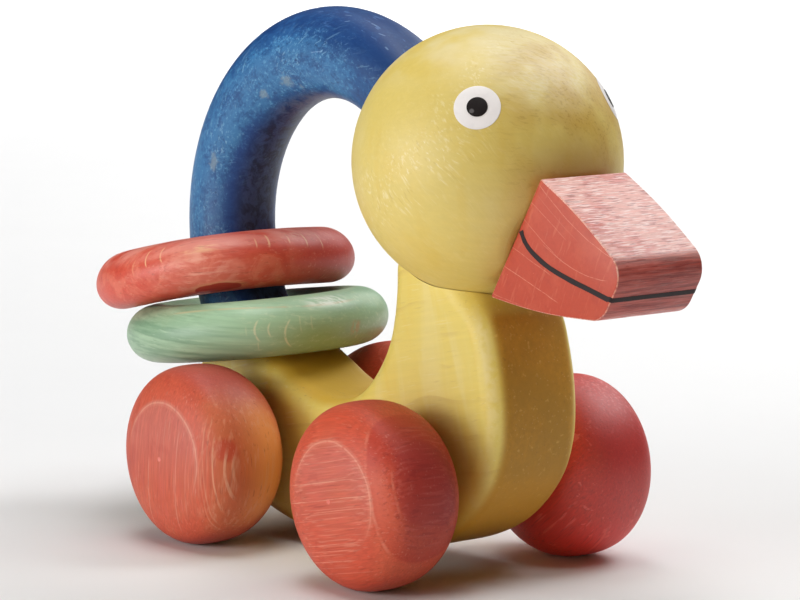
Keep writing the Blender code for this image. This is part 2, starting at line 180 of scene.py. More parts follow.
# ------------------------------------------------------------------ materials
class Graph:
    """Small helper for building a material's nodes."""

    def __init__(self, name):
        self.mat = bpy.data.materials.new(name)
        self.mat.use_nodes = True
        self.t = self.mat.node_tree
        self.t.nodes.clear()
        self.out = self.t.nodes.new("ShaderNodeOutputMaterial")
        self.bsdf = self.t.nodes.new("ShaderNodeBsdfPrincipled")
        self.t.links.new(self.bsdf.outputs[0], self.out.inputs["Surface"])

    def node(self, kind, **props):
        n = self.t.nodes.new(kind)
        for k, v in props.items():
            setattr(n, k, v)
        return n

    def put(self, sock, value):
        if isinstance(value, bpy.types.NodeSocket):
            self.t.links.new(value, sock)
        elif value is not None:
            sock.default_value = value

    def m(self, op, a, b=None, c=None, clamp=False):
        n = self.node("ShaderNodeMath", operation=op, use_clamp=clamp)
        for s, v in zip(n.inputs, (a, b, c)):
            self.put(s, v)
        return n.outputs[0]

    def v(self, op, a, b=None, scale=None):
        n = self.node("ShaderNodeVectorMath", operation=op)
        self.put(n.inputs[0], a)
        if b is not None:
            self.put(n.inputs[1], b)
        if scale is not None:
            self.put(n.inputs["Scale"], scale)
        return n.outputs["Value"] if op in ("LENGTH", "DOT_PRODUCT", "DISTANCE") else n.outputs[0]

    def coords(self):
        """Object coordinates in millimetres."""
        tc = self.node("ShaderNodeTexCoord")
        return self.v("SCALE", tc.outputs["Object"], scale=1000.0)

    def basis(self, p, origin, x, y, z):
        """Coordinates of p along three directions."""
        d = self.v("SUBTRACT", p, tuple(origin))
        comb = self.node("ShaderNodeCombineXYZ")
        for s, ax in zip(comb.inputs, (x, y, z)):
            self.put(s, self.v("DOT_PRODUCT", d, tuple(Vector(ax).normalized())))
        return comb.outputs[0]

    def sep(self, p):
        n = self.node("ShaderNodeSeparateXYZ")
        self.put(n.inputs[0], p)
        return n.outputs

    def comb(self, x, y, z):
        n = self.node("ShaderNodeCombineXYZ")
        for s, v in zip(n.inputs, (x, y, z)):
            self.put(s, v)
        return n.outputs[0]

    def noise(self, p, scale, detail=4.0, rough=0.5, distort=0.0, lac=2.0, kind='FBM', w=None):
        n = self.node("ShaderNodeTexNoise", noise_dimensions='3D' if w is None else '4D', noise_type=kind)
        self.put(n.inputs["Vector"], p)
        if w is not None:
            self.put(n.inputs["W"], w)
        for k, val in (("Scale", scale), ("Detail", detail), ("Roughness", rough),
                       ("Distortion", distort), ("Lacunarity", lac)):
            self.put(n.inputs[k], val)
        return n.outputs["Fac"]

    def noise_vec(self, p, scale, detail=2.0):
        n = self.node("ShaderNodeTexNoise")
        self.put(n.inputs["Vector"], p)
        self.put(n.inputs["Scale"], scale)
        self.put(n.inputs["Detail"], detail)
        return self.v("SUBTRACT", n.outputs["Color"], (0.5, 0.5, 0.5))

    def voronoi(self, p, scale, feature='F1', randomness=1.0):
        n = self.node("ShaderNodeTexVoronoi", feature=feature)
        self.put(n.inputs["Vector"], p)
        self.put(n.inputs["Scale"], scale)
        self.put(n.inputs["Randomness"], randomness)
        return n.outputs

    def ramp(self, fac, stops, interp='LINEAR'):
        n = self.node("ShaderNodeValToRGB")
        r = n.color_ramp
        r.interpolation = interp
        while len(r.elements) > 1:
            r.elements.remove(r.elements[0])
        for i, (pos, col) in enumerate(stops):
            e = r.elements[0] if i == 0 else r.elements.new(pos)
            e.position = pos
            e.color = (*col, 1.0) if hasattr(col, "__len__") else (col, col, col, 1.0)
        self.put(n.inputs[0], fac)
        return n.outputs[0]

    def band(self, x, lo, hi, smooth=True):
        """0 below lo, 1 above hi (or the reverse when lo > hi)"""
        n = self.node("ShaderNodeMapRange", interpolation_type='SMOOTHSTEP' if smooth else 'LINEAR')
        self.put(n.inputs["Value"], x)
        if lo <= hi:
            vals = (lo, hi, 0.0, 1.0)
        else:
            vals = (hi, lo, 1.0, 0.0)
        for k, val in zip(("From Min", "From Max", "To Min", "To Max"), vals):
            n.inputs[k].default_value = val
        n.clamp = True
        return n.outputs[0]

    def mix(self, fac, a, b, blend='MIX'):
        n = self.node("ShaderNodeMix", data_type='RGBA', blend_type=blend, clamp_factor=True)
        self.put(n.inputs[0], fac)
        for i, v in ((6, a), (7, b)):
            if hasattr(v, "__len__") and not isinstance(v, bpy.types.NodeSocket):
                v = (*v, 1.0)[:4]
            self.put(n.inputs[i], v)
        return n.outputs[2]

    def bump(self, height, strength, distance, normal=None):
        n = self.node("ShaderNodeBump")
        n.inputs["Strength"].default_value = strength
        n.inputs["Distance"].default_value = distance
        self.put(n.inputs["Height"], height)
        self.put(n.inputs["Normal"], normal)
        return n.outputs[0]

    def finish(self, color, rough, normal=None, specular=0.5, coat=0.0, coat_rough=0.2, sheen=0.0):
        b = self.bsdf.inputs
        self.put(b["Base Color"], color)
        self.put(b["Roughness"], rough)
        if normal is not None:
            self.put(b["Normal"], normal)
        b["Specular IOR Level"].default_value = specular
        b["Coat Weight"].default_value = coat
        b["Coat Roughness"].default_value = coat_rough
        b["Sheen Weight"].default_value = sheen
        return self.mat


def lin(r, g, b):
    """sRGB bytes to linear values"""
    return tuple(c / 255 / 12.92 if c / 255 <= 0.04045 else ((c / 255 + 0.055) / 1.055) ** 2.4
                 for c in (r, g, b))


class Wood(Graph):
    """Glazed wood.  q is the place along (across, across, fibre) in mm."""

    def __init__(self, name, origin=(0, 0, 0), fibre=(1, 0, 0), up=(0, 0, 1), at=None):
        super().__init__(name)
        f = Vector(fibre).normalized()
        b = Vector(up).cross(f).normalized()
        a = f.cross(b).normalized()
        self.a, self.b, self.f = a, b, f
        self.p = at(self) if at else self.coords()
        self.q = self.basis(self.p, origin, a, b, f)
        tc = self.node("ShaderNodeTexCoord")
        self.n = tc.outputs["Normal"]

    def facing(self, direction):
        """1 where the surface looks along the direction or against it"""
        return self.m('ABSOLUTE', self.v("DOT_PRODUCT", self.n, tuple(Vector(direction).normalized())))

    def toward(self, direction):
        return self.v("DOT_PRODUCT", self.n, tuple(Vector(direction).normalized()))

    def grain(self, across, along, detail=4.0, rough=0.55, p=None, w=None):
        s = self.v("MULTIPLY", self.q if p is None else p, (across, across, along))
        return self.noise(s, 1.0, detail, rough, w=w)

    def hairs(self, across, along, lo, hi, p=None, detail=2.0, w=None):
        """thin streaks: 1 in the streak"""
        return self.band(self.grain(across, along, detail, 0.5, p, w), lo, hi)

    def stripe(self, x, at, half, soft):
        return self.band(self.m('ABSOLUTE', self.m('SUBTRACT', x, at)), half + soft, half)

    def window(self, x, lo, hi, soft):
        return self.m('MULTIPLY', self.band(x, lo - soft, lo + soft), self.band(x, hi + soft, hi - soft))

    def mul(self, *xs):
        out = xs[0]
        for x in xs[1:]:
            out = self.m('MULTIPLY', out, x)
        return out

    def most(self, *xs):
        out = xs[0]
        for x in xs[1:]:
            out = self.m('MAXIMUM', out, x)
        return out

    def specks(self, scale, radius, share, p=None, seed=0.0):
        """small round dots in a share of the cells"""
        v = self.v("ADD", self.p if p is None else p, (seed, seed * 0.7, seed * 1.3))
        vo = self.voronoi(v, scale)
        dot = self.band(vo["Distance"], radius * scale, radius * scale * 0.45)
        pick = self.sep(vo["Color"])[0]
        return self.m('MULTIPLY', dot, self.m('GREATER_THAN', pick, 1.0 - share))

    def tint(self, col, fac, rgb, amount=1.0, blend='MIX'):
        if amount != 1.0:
            fac = self.m('MULTIPLY', fac, amount)
        return self.mix(fac, col, rgb, blend)

    def shade(self, col, fac, lo, hi):
        """multiplies the colour by lo .. hi over fac 0 .. 1"""
        k = self.m('ADD', self.m('MULTIPLY', fac, hi - lo), lo)
        return self.mix(1.0, col, self.comb(k, k, k), 'MULTIPLY')


# ---- yellow body: fibre runs fore and aft and rises a little to the front
def yellow_body():
    g = Wood("glaze_yellow", (0, 0, 30), (0.973, 0, 0.230))
    base, pale, deep = (0.735, 0.580, 0.125), (0.755, 0.635, 0.235), (0.735, 0.535, 0.075)
    curl = g.noise(g.v("MULTIPLY", g.q, (0.035, 0.05, 0.17)), 1.0, 3, 0.5, 0.6)
    cloud = g.noise(g.q, 0.055, 3, 0.5)
    col = g.tint(base, g.band(curl, 0.48, 0.70), pale, 0.60)
    col = g.tint(col, g.band(curl, 0.47, 0.30), deep, 0.6)
    col = g.tint(col, g.band(cloud, 0.55, 0.75), pale, 0.35)
    # growth layers: a soft darker edge every few millimetres
    lay = g.m('ADD', g.sep(g.q)[0], g.m('MULTIPLY', g.noise(g.v("MULTIPLY", g.q, (0.03, 0.03, 0.05)), 1.0, 2), 7.0))
    saw = g.m('FRACT', g.m('DIVIDE', lay, 6.3))
    edge = g.m('MULTIPLY', g.band(saw, 0.78, 0.97), g.band(saw, 1.0, 0.985))
    col = g.tint(col, g.mul(edge, g.band(g.grain(0.08, 0.08, 2, w=3.0), 0.42, 0.6)), (0.60, 0.42, 0.10), 0.42)
    col = g.shade(col, g.grain(1.3, 0.07, 4), 0.93, 1.07)
    col = g.tint(col, g.hairs(2.2, 0.16, 0.62, 0.72), (0.80, 0.70, 0.36), 0.30)
    col = g.tint(col, g.hairs(2.6, 0.22, 0.63, 0.72, w=5.0), (0.52, 0.36, 0.09), 0.28)
    # end grain on the breast and tail takes more colour; the mask also leans down over the lower breast, so this dark
    # is partly painted shade on a breast that faces away from the lamps
    nx, ny, nz = g.sep(g.n)
    around = g.v("LENGTH", g.comb(nx, 0.0, nz))
    end = g.mul(g.band(around, 0.80, 0.985), g.most(g.band(g.toward((0.93, 0, -0.36)), 0.25, 0.60), g.band(g.toward((-1, 0, 0)), 0.50, 0.85)))
    rough_end = g.noise(g.p, 1.1, 5, 0.65)
    dark = g.shade((0.47, 0.235, 0.014), rough_end, 0.74, 1.26)
    dark = g.tint(dark, g.band(g.noise(g.p, 0.10, 3), 0.48, 0.64), (0.41, 0.215, 0.014), 0.6)
    dark = g.tint(dark, g.hairs(0.9, 0.9, 0.60, 0.70, detail=4, w=2.0), (0.80, 0.52, 0.12), 0.38)
    dark = g.tint(dark, g.specks(1.5, 0.16, 0.20, seed=4.0), (0.80, 0.60, 0.24), 0.24)
    dark = g.tint(dark, g.hairs(1.3, 1.3, 0.62, 0.72, detail=4, w=7.0), (0.28, 0.13, 0.015), 0.42)
    col = g.mix(end, col, dark)
    # painted sheen along the rounded arris between side and breast
    arris_painted_sheen = g.mul(g.window(around, 0.40, 0.78, 0.12), g.band(g.toward((0.93, 0, -0.36)), 0.15, 0.40), g.band(g.sep(g.p)[2], 18.0, 36.0), g.band(g.noise(g.p, 0.5, 3, w=6.0), 0.30, 0.55))
    col = g.tint(col, arris_painted_sheen, (0.82, 0.68, 0.30), 0.60)
    # painted shade under the body and on the lower breast
    painted_shade_under = g.most(g.band(g.toward((0, 0, -1)), 0.15, 0.80), g.mul(end, g.band(g.sep(g.p)[2], 26.0, 10.0)))
    col = g.tint(col, painted_shade_under, (0.56, 0.27, 0.015), 0.80)
    # painted shadow of the rings on the rear deck
    painted_deck_shadow = g.mul(g.band(g.toward((0.10, 0, 0.99)), 0.55, 0.90), g.band(g.sep(g.p)[0], 14.0, 2.0))
    col = g.tint(col, painted_deck_shadow, (0.58, 0.33, 0.02), 0.80)
    # painted shade on the sides round the rollers, stronger by the front one
    flank = g.band(g.m('ABSOLUTE', ny), 0.55, 0.95)
    for ax in (FRONT_X, REAR_X):
        away_r = g.v("LENGTH", g.comb(g.m('SUBTRACT', g.sep(g.p)[0], ax), 0.0, g.m('SUBTRACT', g.sep(g.p)[2], AXLE_Z)))
        col = g.tint(col, g.mul(flank, g.band(away_r, 23.0, 15.5), g.band(g.sep(g.p)[2], 36.0, 20.0)), (0.50, 0.235, 0.020),
                     0.62 if ax == FRONT_X else 0.28)
    # painted shade on the lower front of the sides
    low = g.mul(g.band(g.sep(g.p)[2], 22.0, 7.0), g.band(g.sep(g.p)[0], 24.0, 36.0))
    col = g.tint(col, g.mul(low, g.band(around, 0.95, 0.60)), (0.52, 0.29, 0.03), 0.55)
    # painted shade along the bottom edge
    col = g.tint(col, g.mul(g.band(g.sep(g.p)[2], 12.0, 5.0), g.band(around, 0.30, 0.80)), (0.37, 0.185, 0.012), 0.75)
    half = g.window(g.facing(g.f), 0.18, 0.52, 0.12)
    pits = g.mul(half, g.band(g.noise(g.v("MULTIPLY", g.q, (1.0, 1.0, 0.55)), 1.0, 5, 0.7), 0.60, 0.69),
                 g.band(g.noise(g.p, 0.09, 2, w=2.0), 0.47, 0.58))
    col = g.tint(col, pits, (0.34, 0.22, 0.07), 0.55)
    col = g.tint(col, g.specks(0.33, 0.16, 0.13, seed=2.0), (0.30, 0.20, 0.07), 0.7)
    relief = g.m('ADD', g.m('MULTIPLY', g.grain(2.4, 0.15, 3), 0.55),
                 g.m('MULTIPLY', g.noise(g.p, 1.3, 4, 0.6), 0.45))
    nrm = g.bump(relief, 0.22, 0.00012)
    ro = g.m('ADD', g.m('MULTIPLY', g.grain(0.9, 0.12, 3, w=1.0), 0.14), g.m('ADD', g.m('MULTIPLY', end, 0.18), 0.42))
    return g.finish(col, ro, nrm, specular=0.50, coat=0.08, coat_rough=0.34)


# ---- yellow head: turned ball with fine sanding strokes
def yellow_head():
    g = Wood("glaze_yellow_head", HEAD, (0.636, 0.772, -0.05))
    base, pale, deep = (0.700, 0.545, 0.145), (0.725, 0.600, 0.240), (0.690, 0.500, 0.090)
    cloud = g.noise(g.p, 0.075, 3, 0.5)
    tall = g.noise(g.v("MULTIPLY", g.q, (0.03, 0.16, 0.16)), 1.0, 3, 0.55)
    col = g.tint(base, g.band(cloud, 0.50, 0.70), pale, 0.40)
    col = g.tint(col, g.band(cloud, 0.46, 0.30), deep, 0.55)
    col = g.tint(col, g.band(tall, 0.52, 0.68), deep, 0.45)
    col = g.shade(col, g.grain(1.0, 0.12, 5, 0.6), 0.93, 1.07)
    # painted sheen on the crown, towards the upper left
    painted_sheen_crown = g.mul(g.band(g.toward((-0.10, -0.25, 0.96)), 0.70, 0.99), g.band(cloud, 0.36, 0.56))
    col = g.tint(col, painted_sheen_crown, (0.770, 0.680, 0.430), 0.58)
    # painted sheen on the upper right of the ball
    gloss = g.mul(g.band(g.toward((0.64, -0.02, 0.77)), 0.84, 1.0), g.band(g.grain(1.9, 0.40, 5, w=4.0), 0.20, 0.66))
    col = g.tint(col, gloss, (0.820, 0.730, 0.480), 0.60)
    # sanding strokes, down to the right, in a belt over the cheek and brow
    s = Vector((0.45, 0.54, -0.70)).normalized()
    t = Vector((0.764, -0.630, 0.140)).normalized()
    c = s.cross(t).normalized()
    bent = g.v("ADD", g.p, g.v("SCALE", g.noise_vec(g.p, 0.09, 2), scale=4.5))
    stroke_p = g.basis(bent, HEAD, c, t, s)
    k = g.toward(s)
    belt = g.mul(g.window(k, -0.66, -0.16, 0.13), g.band(g.noise(g.p, 0.13, 3), 0.36, 0.58))
    cut = g.hairs(1.5, 0.24, 0.54, 0.70, p=stroke_p, detail=6)
    cut2 = g.hairs(2.6, 0.34, 0.57, 0.70, p=stroke_p, detail=5, w=7.0)
    fleck = g.most(g.m('MULTIPLY', cut, 0.8), cut2)
    col = g.tint(col, g.mul(belt, fleck), (0.86, 0.77, 0.48), 0.52)
    col = g.tint(col, g.mul(belt, g.hairs(1.7, 0.20, 0.57, 0.70, p=stroke_p, detail=4, w=3.0)), (0.52, 0.35, 0.04), 0.40)
    col = g.tint(col, g.mul(fleck, g.band(belt, 0.5, 0.0)), (0.78, 0.64, 0.28), 0.22)
    # fibre shows as fine darker lines on the brow's right; the brow's right is also darkened all over as painted shade
    brow = g.mul(g.band(g.toward((0.90, 0.35, 0.28)), 0.45, 0.85), g.band(g.noise(g.p, 0.10, 2, w=1.0), 0.38, 0.60))
    wavy = g.basis(g.v("ADD", g.p, g.v("SCALE", g.noise_vec(g.p, 0.16, 2), scale=2.2)), HEAD, g.a, g.b, g.f)
    col = g.tint(col, g.mul(brow, g.hairs(2.0, 0.14, 0.53, 0.66, p=wavy, detail=4)), (0.34, 0.19, 0.03), 0.60)
    # painted shade over the right of the ball, away from the lamps
    col = g.tint(col, brow, (0.50, 0.275, 0.018), 0.58)
    col = g.tint(col, g.specks(0.42, 0.15, 0.10, seed=5.0), (0.34, 0.24, 0.08), 0.55)
    # painted shade on the ball round the beak
    painted_shade_round_beak = g.most(g.mul(g.band(g.toward(beak_dir()), 0.62, 0.92), g.band(g.sep(g.p)[1], -16.0, 0.0)), g.mul(g.band(g.toward(beak_dir()), 0.84, 0.91), 0.7))
    col = g.tint(col, painted_shade_round_beak, (0.36, 0.18, 0.015), 0.75)
    relief = g.m('ADD', g.m('MULTIPLY', g.grain(1.6, 0.22, 4, p=stroke_p), 0.7),
                 g.m('MULTIPLY', g.noise(g.p, 1.4, 4, 0.6), 0.3))
    nrm = g.bump(relief, 0.34, 0.00016)
    ro = g.m('ADD', g.m('MULTIPLY', g.grain(1.2, 0.3, 4, p=stroke_p), 0.20), 0.40)
    return g.finish(col, ro, nrm, specular=0.62, coat=0.10, coat_rough=0.34)


# ---- red rollers: one wood, four different cuts
def red_roller(name, x, side, fibre, marks, seed, tone=(1.0, 1.0, 1.0), gloss=0.30):
    centre = Vector((x, 0.0, AXLE_Z))
    g = Wood(name, centre, fibre, up=(0, 1, 0))
    loc = g.basis(g.p, centre, (1, 0, 0), (0, side, 0), (0, 0, 1))     # y grows outwards
    lx, ly, lz = g.sep(loc)
    r = g.v("LENGTH", g.comb(lx, 0.0, lz))
    wob = g.noise(g.p, 0.10, 3, w=seed)
    base, pink, dark = lin(199, 81, 55), lin(196, 100, 84), lin(172, 54, 40)
    cloud = g.noise(g.p, 0.085, 4, 0.55, 0.4, w=seed + 1)
    face = g.mul(g.band(g.m('ADD', r, g.m('MULTIPLY', wob, 1.2)), 12.4, 10.6), g.band(ly, 30.0, 33.0))
    col = g.tint(base, g.mul(face, g.band(lz, -9.0, 7.0)), pink, 0.75)
    col = g.tint(col, g.band(cloud, 0.50, 0.66), lin(200, 96, 66), 0.45)
    col = g.tint(col, g.band(cloud, 0.46, 0.32), dark, 0.55)
    col = g.shade(col, g.grain(1.7, 0.07, 6, 0.66, w=seed), 0.88, 1.12)
    col = g.shade(col, g.hairs(2.6, 0.16, 0.44, 0.60, detail=4, w=seed + 15), 0.94, 1.06)
    line = lin(226, 158, 132)
    # worn ring that the turning left round the outer face
    loop_r = g.m('ADD', r, g.m('MULTIPLY', g.m('SUBTRACT', wob, 0.5), 1.2))
    loop = g.mul(g.most(g.stripe(loop_r, 10.9, 0.08, 0.22), g.m('MULTIPLY', g.stripe(loop_r, 10.9, 0.3, 0.5), 0.35)),
                 g.band(ly, 30.5, 32.5), g.band(g.noise(g.p, 0.6, 3, 0.6, w=seed), 0.22, 0.46))
    fade = g.m('ADD', g.m('MULTIPLY', g.band(g.m('ADD', lz, g.m('MULTIPLY', lx, 0.35)), -4.0, 5.0), 0.75), 0.05)
    col = g.tint(col, g.mul(loop, fade), line, 0.60)
    col, extra = marks(g, col, lx, ly, lz, r, line, seed)
    # fine fibre lines and dust-fine flecks
    col = g.tint(col, g.hairs(2.3, 0.10, 0.59, 0.70, detail=4, w=seed + 2), line, 0.26)
    col = g.tint(col, g.hairs(2.2, 0.11, 0.58, 0.70, detail=4, w=seed + 4), lin(130, 34, 28), 0.32)
    col = g.tint(col, g.specks(0.75, 0.08, 0.10, seed=seed), line, 0.24)
    col = g.tint(col, g.specks(0.9, 0.13, 0.10, seed=seed + 3), lin(110, 28, 26), 0.35)
    dot = g.band(r, 0.62, 0.30)
    col = g.tint(col, g.mul(dot, g.band(ly, 30.0, 33.0)), lin(232, 128, 112), 0.70)
    end = g.band(g.facing(g.f), 0.60, 0.97)
    col = g.tint(col, end, g.shade(lin(150, 48, 50), g.noise(g.p, 1.3, 4, 0.6), 0.8, 1.2), 0.45)
    col = g.mix(1.0, col, tone, 'MULTIPLY')
    relief = g.m('ADD', g.m('MULTIPLY', g.grain(1.7, 0.11, 4, w=seed), 0.8), g.m('MULTIPLY', extra, 0.4))
    nrm = g.bump(relief, 0.30, 0.00018)
    ro = g.m('ADD', g.m('MULTIPLY', g.grain(0.8, 0.1, 3, w=seed + 6), 0.16), 0.44)
    return g.finish(col, ro, nrm, specular=gloss, coat=0.06, coat_rough=0.36)


def marks_front_right(g, col, lx, ly, lz, r, line, seed):
    """Fibre lines on the outer face, ovals of end grain on the front."""
    up = g.m('ADD', g.m('MULTIPLY', lx, -0.22), g.m('MULTIPLY', lz, 0.975))
    bow = g.m('ADD', up, g.m('MULTIPLY', g.noise(g.p, 0.06, 2, w=seed), 0.8))
    on_face = g.mul(g.band(r, 12.6, 10.6), g.band(ly, 29.0, 31.5))
    lines = None
    for at, half, lo, hi, power in ((3.55, 0.07, -15.0, 10.0, 0.75), (0.35, 0.09, -15.0, 10.5, 0.95),
                                    (-1.75, 0.07, -9.0, 10.5, 0.7), (-3.1, 0.05, -11.0, 3.0, 0.5),
                                    (7.2, 0.05, -9.0, 6.0, 0.35), (6.1, 0.05, -6.0, 7.0, 0.35),
                                    (-7.7, 0.08, -10.0, 8.0, 0.75), (-8.9, 0.06, -8.0, 6.0, 0.6),
                                    (-9.6, 0.06, -9.0, 5.0, 0.6), (-10.9, 0.09, -9.0, 5.5, 0.85),
                                    (-6.3, 0.05, -9.0, 9.0, 0.4), (-5.2, 0.05, -10.0, 9.0, 0.35),
                                    (-12.1, 0.06, -6.0, 5.0, 0.5), (-13.2, 0.08, -4.0, 9.0, 0.5)):
        s = g.m('MULTIPLY', g.mul(g.stripe(bow, at + 0.4, half * 0.5, 0.08), g.window(lx, lo, hi, 1.5)), power)
        lines = s if lines is None else g.most(lines, s)
    broken = g.band(g.grain(0.8, 0.22, 3, 0.6, w=seed + 9), 0.36, 0.56)
    col = g.tint(col, g.mul(lines, g.band(ly, 27.0, 30.0), g.m('ADD', g.m('MULTIPLY', broken, 0.8), 0.2)), line, 0.60)
    col = g.tint(col, g.mul(on_face, g.hairs(1.9, 0.035, 0.54, 0.66, w=seed + 8)), line, 0.30)
    col = g.tint(col, g.mul(on_face, g.hairs(1.6, 0.03, 0.55, 0.66, w=seed + 12)), lin(176, 62, 50), 0.25)
    # layers round a pith that runs fore and aft
    wave = g.m('MULTIPLY', g.m('SUBTRACT', g.noise(g.p, 0.16, 3, w=seed + 5), 0.5), 1.8)
    lev = g.m('ADD', g.m('ADD', lx, g.m('MULTIPLY', lz, 0.28)), wave)
    inner = g.band(lev, 15.9, 16.6)
    outer = g.band(lev, 11.3, 12.0)
    ends = g.most(g.band(lz, 5.0, 10.0), g.band(lz, -5.0, -10.0))
    col = g.tint(col, g.mul(outer, g.m('ADD', g.m('MULTIPLY', ends, 0.7), 0.3), g.band(ly, 33.6, 33.0)), lin(176, 48, 34), 0.62)
    col = g.tint(col, inner, lin(178, 58, 44), 0.70)
    col = g.tint(col, g.mul(inner, g.band(g.m('SUBTRACT', g.m('ABSOLUTE', ly), g.m('MULTIPLY', lz, 0.2)), 27.0, 21.0)), lin(148, 50, 48), 0.36)
    rim = g.band(g.noise(g.p, 0.35, 3, w=seed + 2), 0.34, 0.55)
    col = g.tint(col, g.mul(g.stripe(lev, 15.95, 0.06, 0.30), g.band(ly, 30.0, 31.5), rim), line, 0.30)
    col = g.tint(col, g.mul(g.stripe(lev, 11.35, 0.08, 0.40), g.band(ly, 30.5, 32.0), rim), line, 0.26)
    # lighter waist between the two
    col = g.tint(col, g.mul(g.window(lev, 11.9, 15.4, 0.8), g.window(lz, -3.0, 7.0, 3.0)), lin(210, 98, 70), 0.55)
    level = g.basis(g.p, (0, 0, 0), (1, 0, 0), (-0.18, 0.05, 0.98), (0.20, 0.97, 0.15))
    frets = g.mul(g.band(lev, 12.0, 15.5), g.hairs(1.5, 0.16, 0.50, 0.66, w=seed + 7, detail=6, p=level))
    col = g.tint(col, frets, lin(206, 100, 84), 0.55)
    notch = g.mul(g.band(lev, 12.0, 15.5), g.hairs(1.6, 0.18, 0.51, 0.66, w=seed + 21, detail=6, p=level))
    col = g.tint(col, notch, lin(122, 34, 32), 0.42)
    return col, lines


def loc_point(g, lx, ly, lz):
    return g.comb(lx, ly, lz)


def marks_rear_right(g, col, lx, ly, lz, r, line, seed):
    """Upright fibre, layers that come out on the front as nested curves."""
    wave = g.m('MULTIPLY', g.m('SUBTRACT', g.noise(g.p, 0.12, 2, w=seed + 5), 0.5), 0.7)
    lev = g.m('ADD', g.m('ADD', lx, g.m('MULTIPLY', lz, 0.03)), wave)
    curve = g.m('ADD', lev, g.m('MULTIPLY', g.m('MULTIPLY', lz, lz), 0.004))
    lines = None
    for at, half, lo, hi, power in ((12.35, 0.10, -11.0, 9.0, 0.38), (14.15, 0.13, -8.0, 5.5, 0.85),
                                    (16.0, 0.16, -6.5, 3.4, 0.95), (16.82, 0.07, -4.8, 3.6, 0.9),
                                    (17.12, 0.03, -3.0, 2.0, 0.4), (13.2, 0.06, 0.0, 9.0, 0.35),
                                    (11.7, 0.08, -16.0, -3.0, 0.45)):
        s = g.m('MULTIPLY', g.mul(g.stripe(curve, at, half * 0.65, 0.12), g.window(lz, lo, hi, 1.6)), power)
        lines = s if lines is None else g.most(lines, s)
    broken = g.mul(g.m('ADD', g.m('MULTIPLY', g.band(g.grain(0.6, 0.3, 3, 0.6, w=seed + 9), 0.30, 0.52), 0.6), 0.4),
                   g.band(ly, 27.6, 29.4))
    arcs = g.mul(lines, broken)
    up = None
    for at, half, lo, hi, power in ((-3.3, 0.10, -14.0, -0.5, 0.45), (5.4, 0.09, -13.0, 6.0, 0.5),
                                    (-8.0, 0.08, -6.0, 6.0, 0.25), (1.2, 0.08, 0.0, 8.0, 0.25),
                                    (8.2, 0.07, -10.0, 3.0, 0.3)):
        tilt = g.m('ADD', lx, g.m('MULTIPLY', lz, -0.09))
        s = g.m('MULTIPLY', g.mul(g.stripe(tilt, at, half, 0.12), g.window(lz, lo, hi, 1.5)), power)
        up = s if up is None else g.most(up, s)
    col = g.tint(col, g.mul(up, g.band(ly, 29.0, 31.5)), line, 0.6)
    col = g.tint(col, g.mul(g.band(r, 12.6, 10.6), g.hairs(0.9, 0.04, 0.52, 0.66, w=seed + 8)), lin(196, 84, 72), 0.35)
    # warmer, browner flank towards the front, strongest on the inner side: partly the glaze's own tone, partly painted
    # reflection of the yellow body
    col = g.tint(col, g.mul(g.band(lx, 7.0, 15.0), g.band(ly, 33.4, 30.5)), lin(204, 112, 68), 0.50)
    col = g.tint(col, g.mul(g.band(lx, 11.0, 16.0), g.band(ly, 28.5, 20.5)), lin(242, 150, 84), 0.80)
    col = g.tint(col, g.mul(g.band(lx, 7.0, 15.0), g.hairs(1.1, 0.08, 0.52, 0.66, detail=4, w=seed + 18)), lin(226, 156, 120), 0.32)
    spot = g.m('ADD', g.v("LENGTH", g.v("SUBTRACT", loc_point(g, lx, ly, lz), (16.0, 30.0, 3.8))), g.m('MULTIPLY', g.m('SUBTRACT', g.noise(g.p, 0.4, 3), 0.5), 2.5))
    col = g.tint(col, g.band(spot, 2.9, 1.4), lin(186, 54, 36), 0.65)
    col = g.tint(col, arcs, lin(224, 158, 122), 0.62)
    return col, lines


def marks_far(g, col, lx, ly, lz, r, line, seed):
    """Short scratches on a darker red, seen from the front and from inside, with painted shade, sheen, glint and floor
    light on it.
    """
    q1 = g.basis(g.p, (0, 0, 0), (0.62, 0, -0.78), (0, 1, 0), (0.78, 0, 0.62))
    s1 = g.mul(g.hairs(0.62, 0.040, 0.640, 0.668, p=q1, detail=2, w=seed), g.band(g.noise(g.p, 0.10, 2, w=seed), 0.40, 0.55))
    q2 = g.basis(g.p, (0, 0, 0), (0.30, 0, 0.95), (0, 1, 0), (0.95, 0, -0.30))
    s2 = g.mul(g.hairs(0.70, 0.046, 0.645, 0.672, p=q2, detail=2, w=seed + 1), g.band(g.noise(g.p, 0.09, 2, w=seed + 4), 0.45, 0.58))
    s = g.most(s1, s2)
    col = g.tint(col, s, line, 0.66)
    # painted glint with fine streaks on the upper right
    painted_glint_wheel = g.mul(g.band(g.toward((0.45, 0.45, 0.77)), 0.70, 0.97), g.hairs(1.4, 0.30, 0.50, 0.64, detail=5, w=seed + 9))
    col = g.tint(col, painted_glint_wheel, lin(240, 226, 224), 0.62)
    # painted shade on the front of the far wheel
    col = g.tint(col, g.band(g.toward((1, 0, 0)), 0.55, 0.95), lin(150, 30, 26), 0.32)
    # paler, dustier outer face: painted sheen
    col = g.tint(col, g.band(g.toward((0.35, 0.92, 0.15)), 0.35, 0.80), lin(178, 104, 96), 0.22)
    # lighter red low down: painted bounce light from the floor
    col = g.tint(col, g.band(lz, -5.0, -14.0), lin(228, 88, 76), 0.38)
    fine = g.hairs(1.9, 0.24, 0.53, 0.68, detail=5, w=seed + 6)
    col = g.tint(col, fine, lin(120, 28, 26), 0.30)
    return col, g.m('ADD', g.m('MULTIPLY', fine, -0.6), g.m('MULTIPLY', s, 0.6))


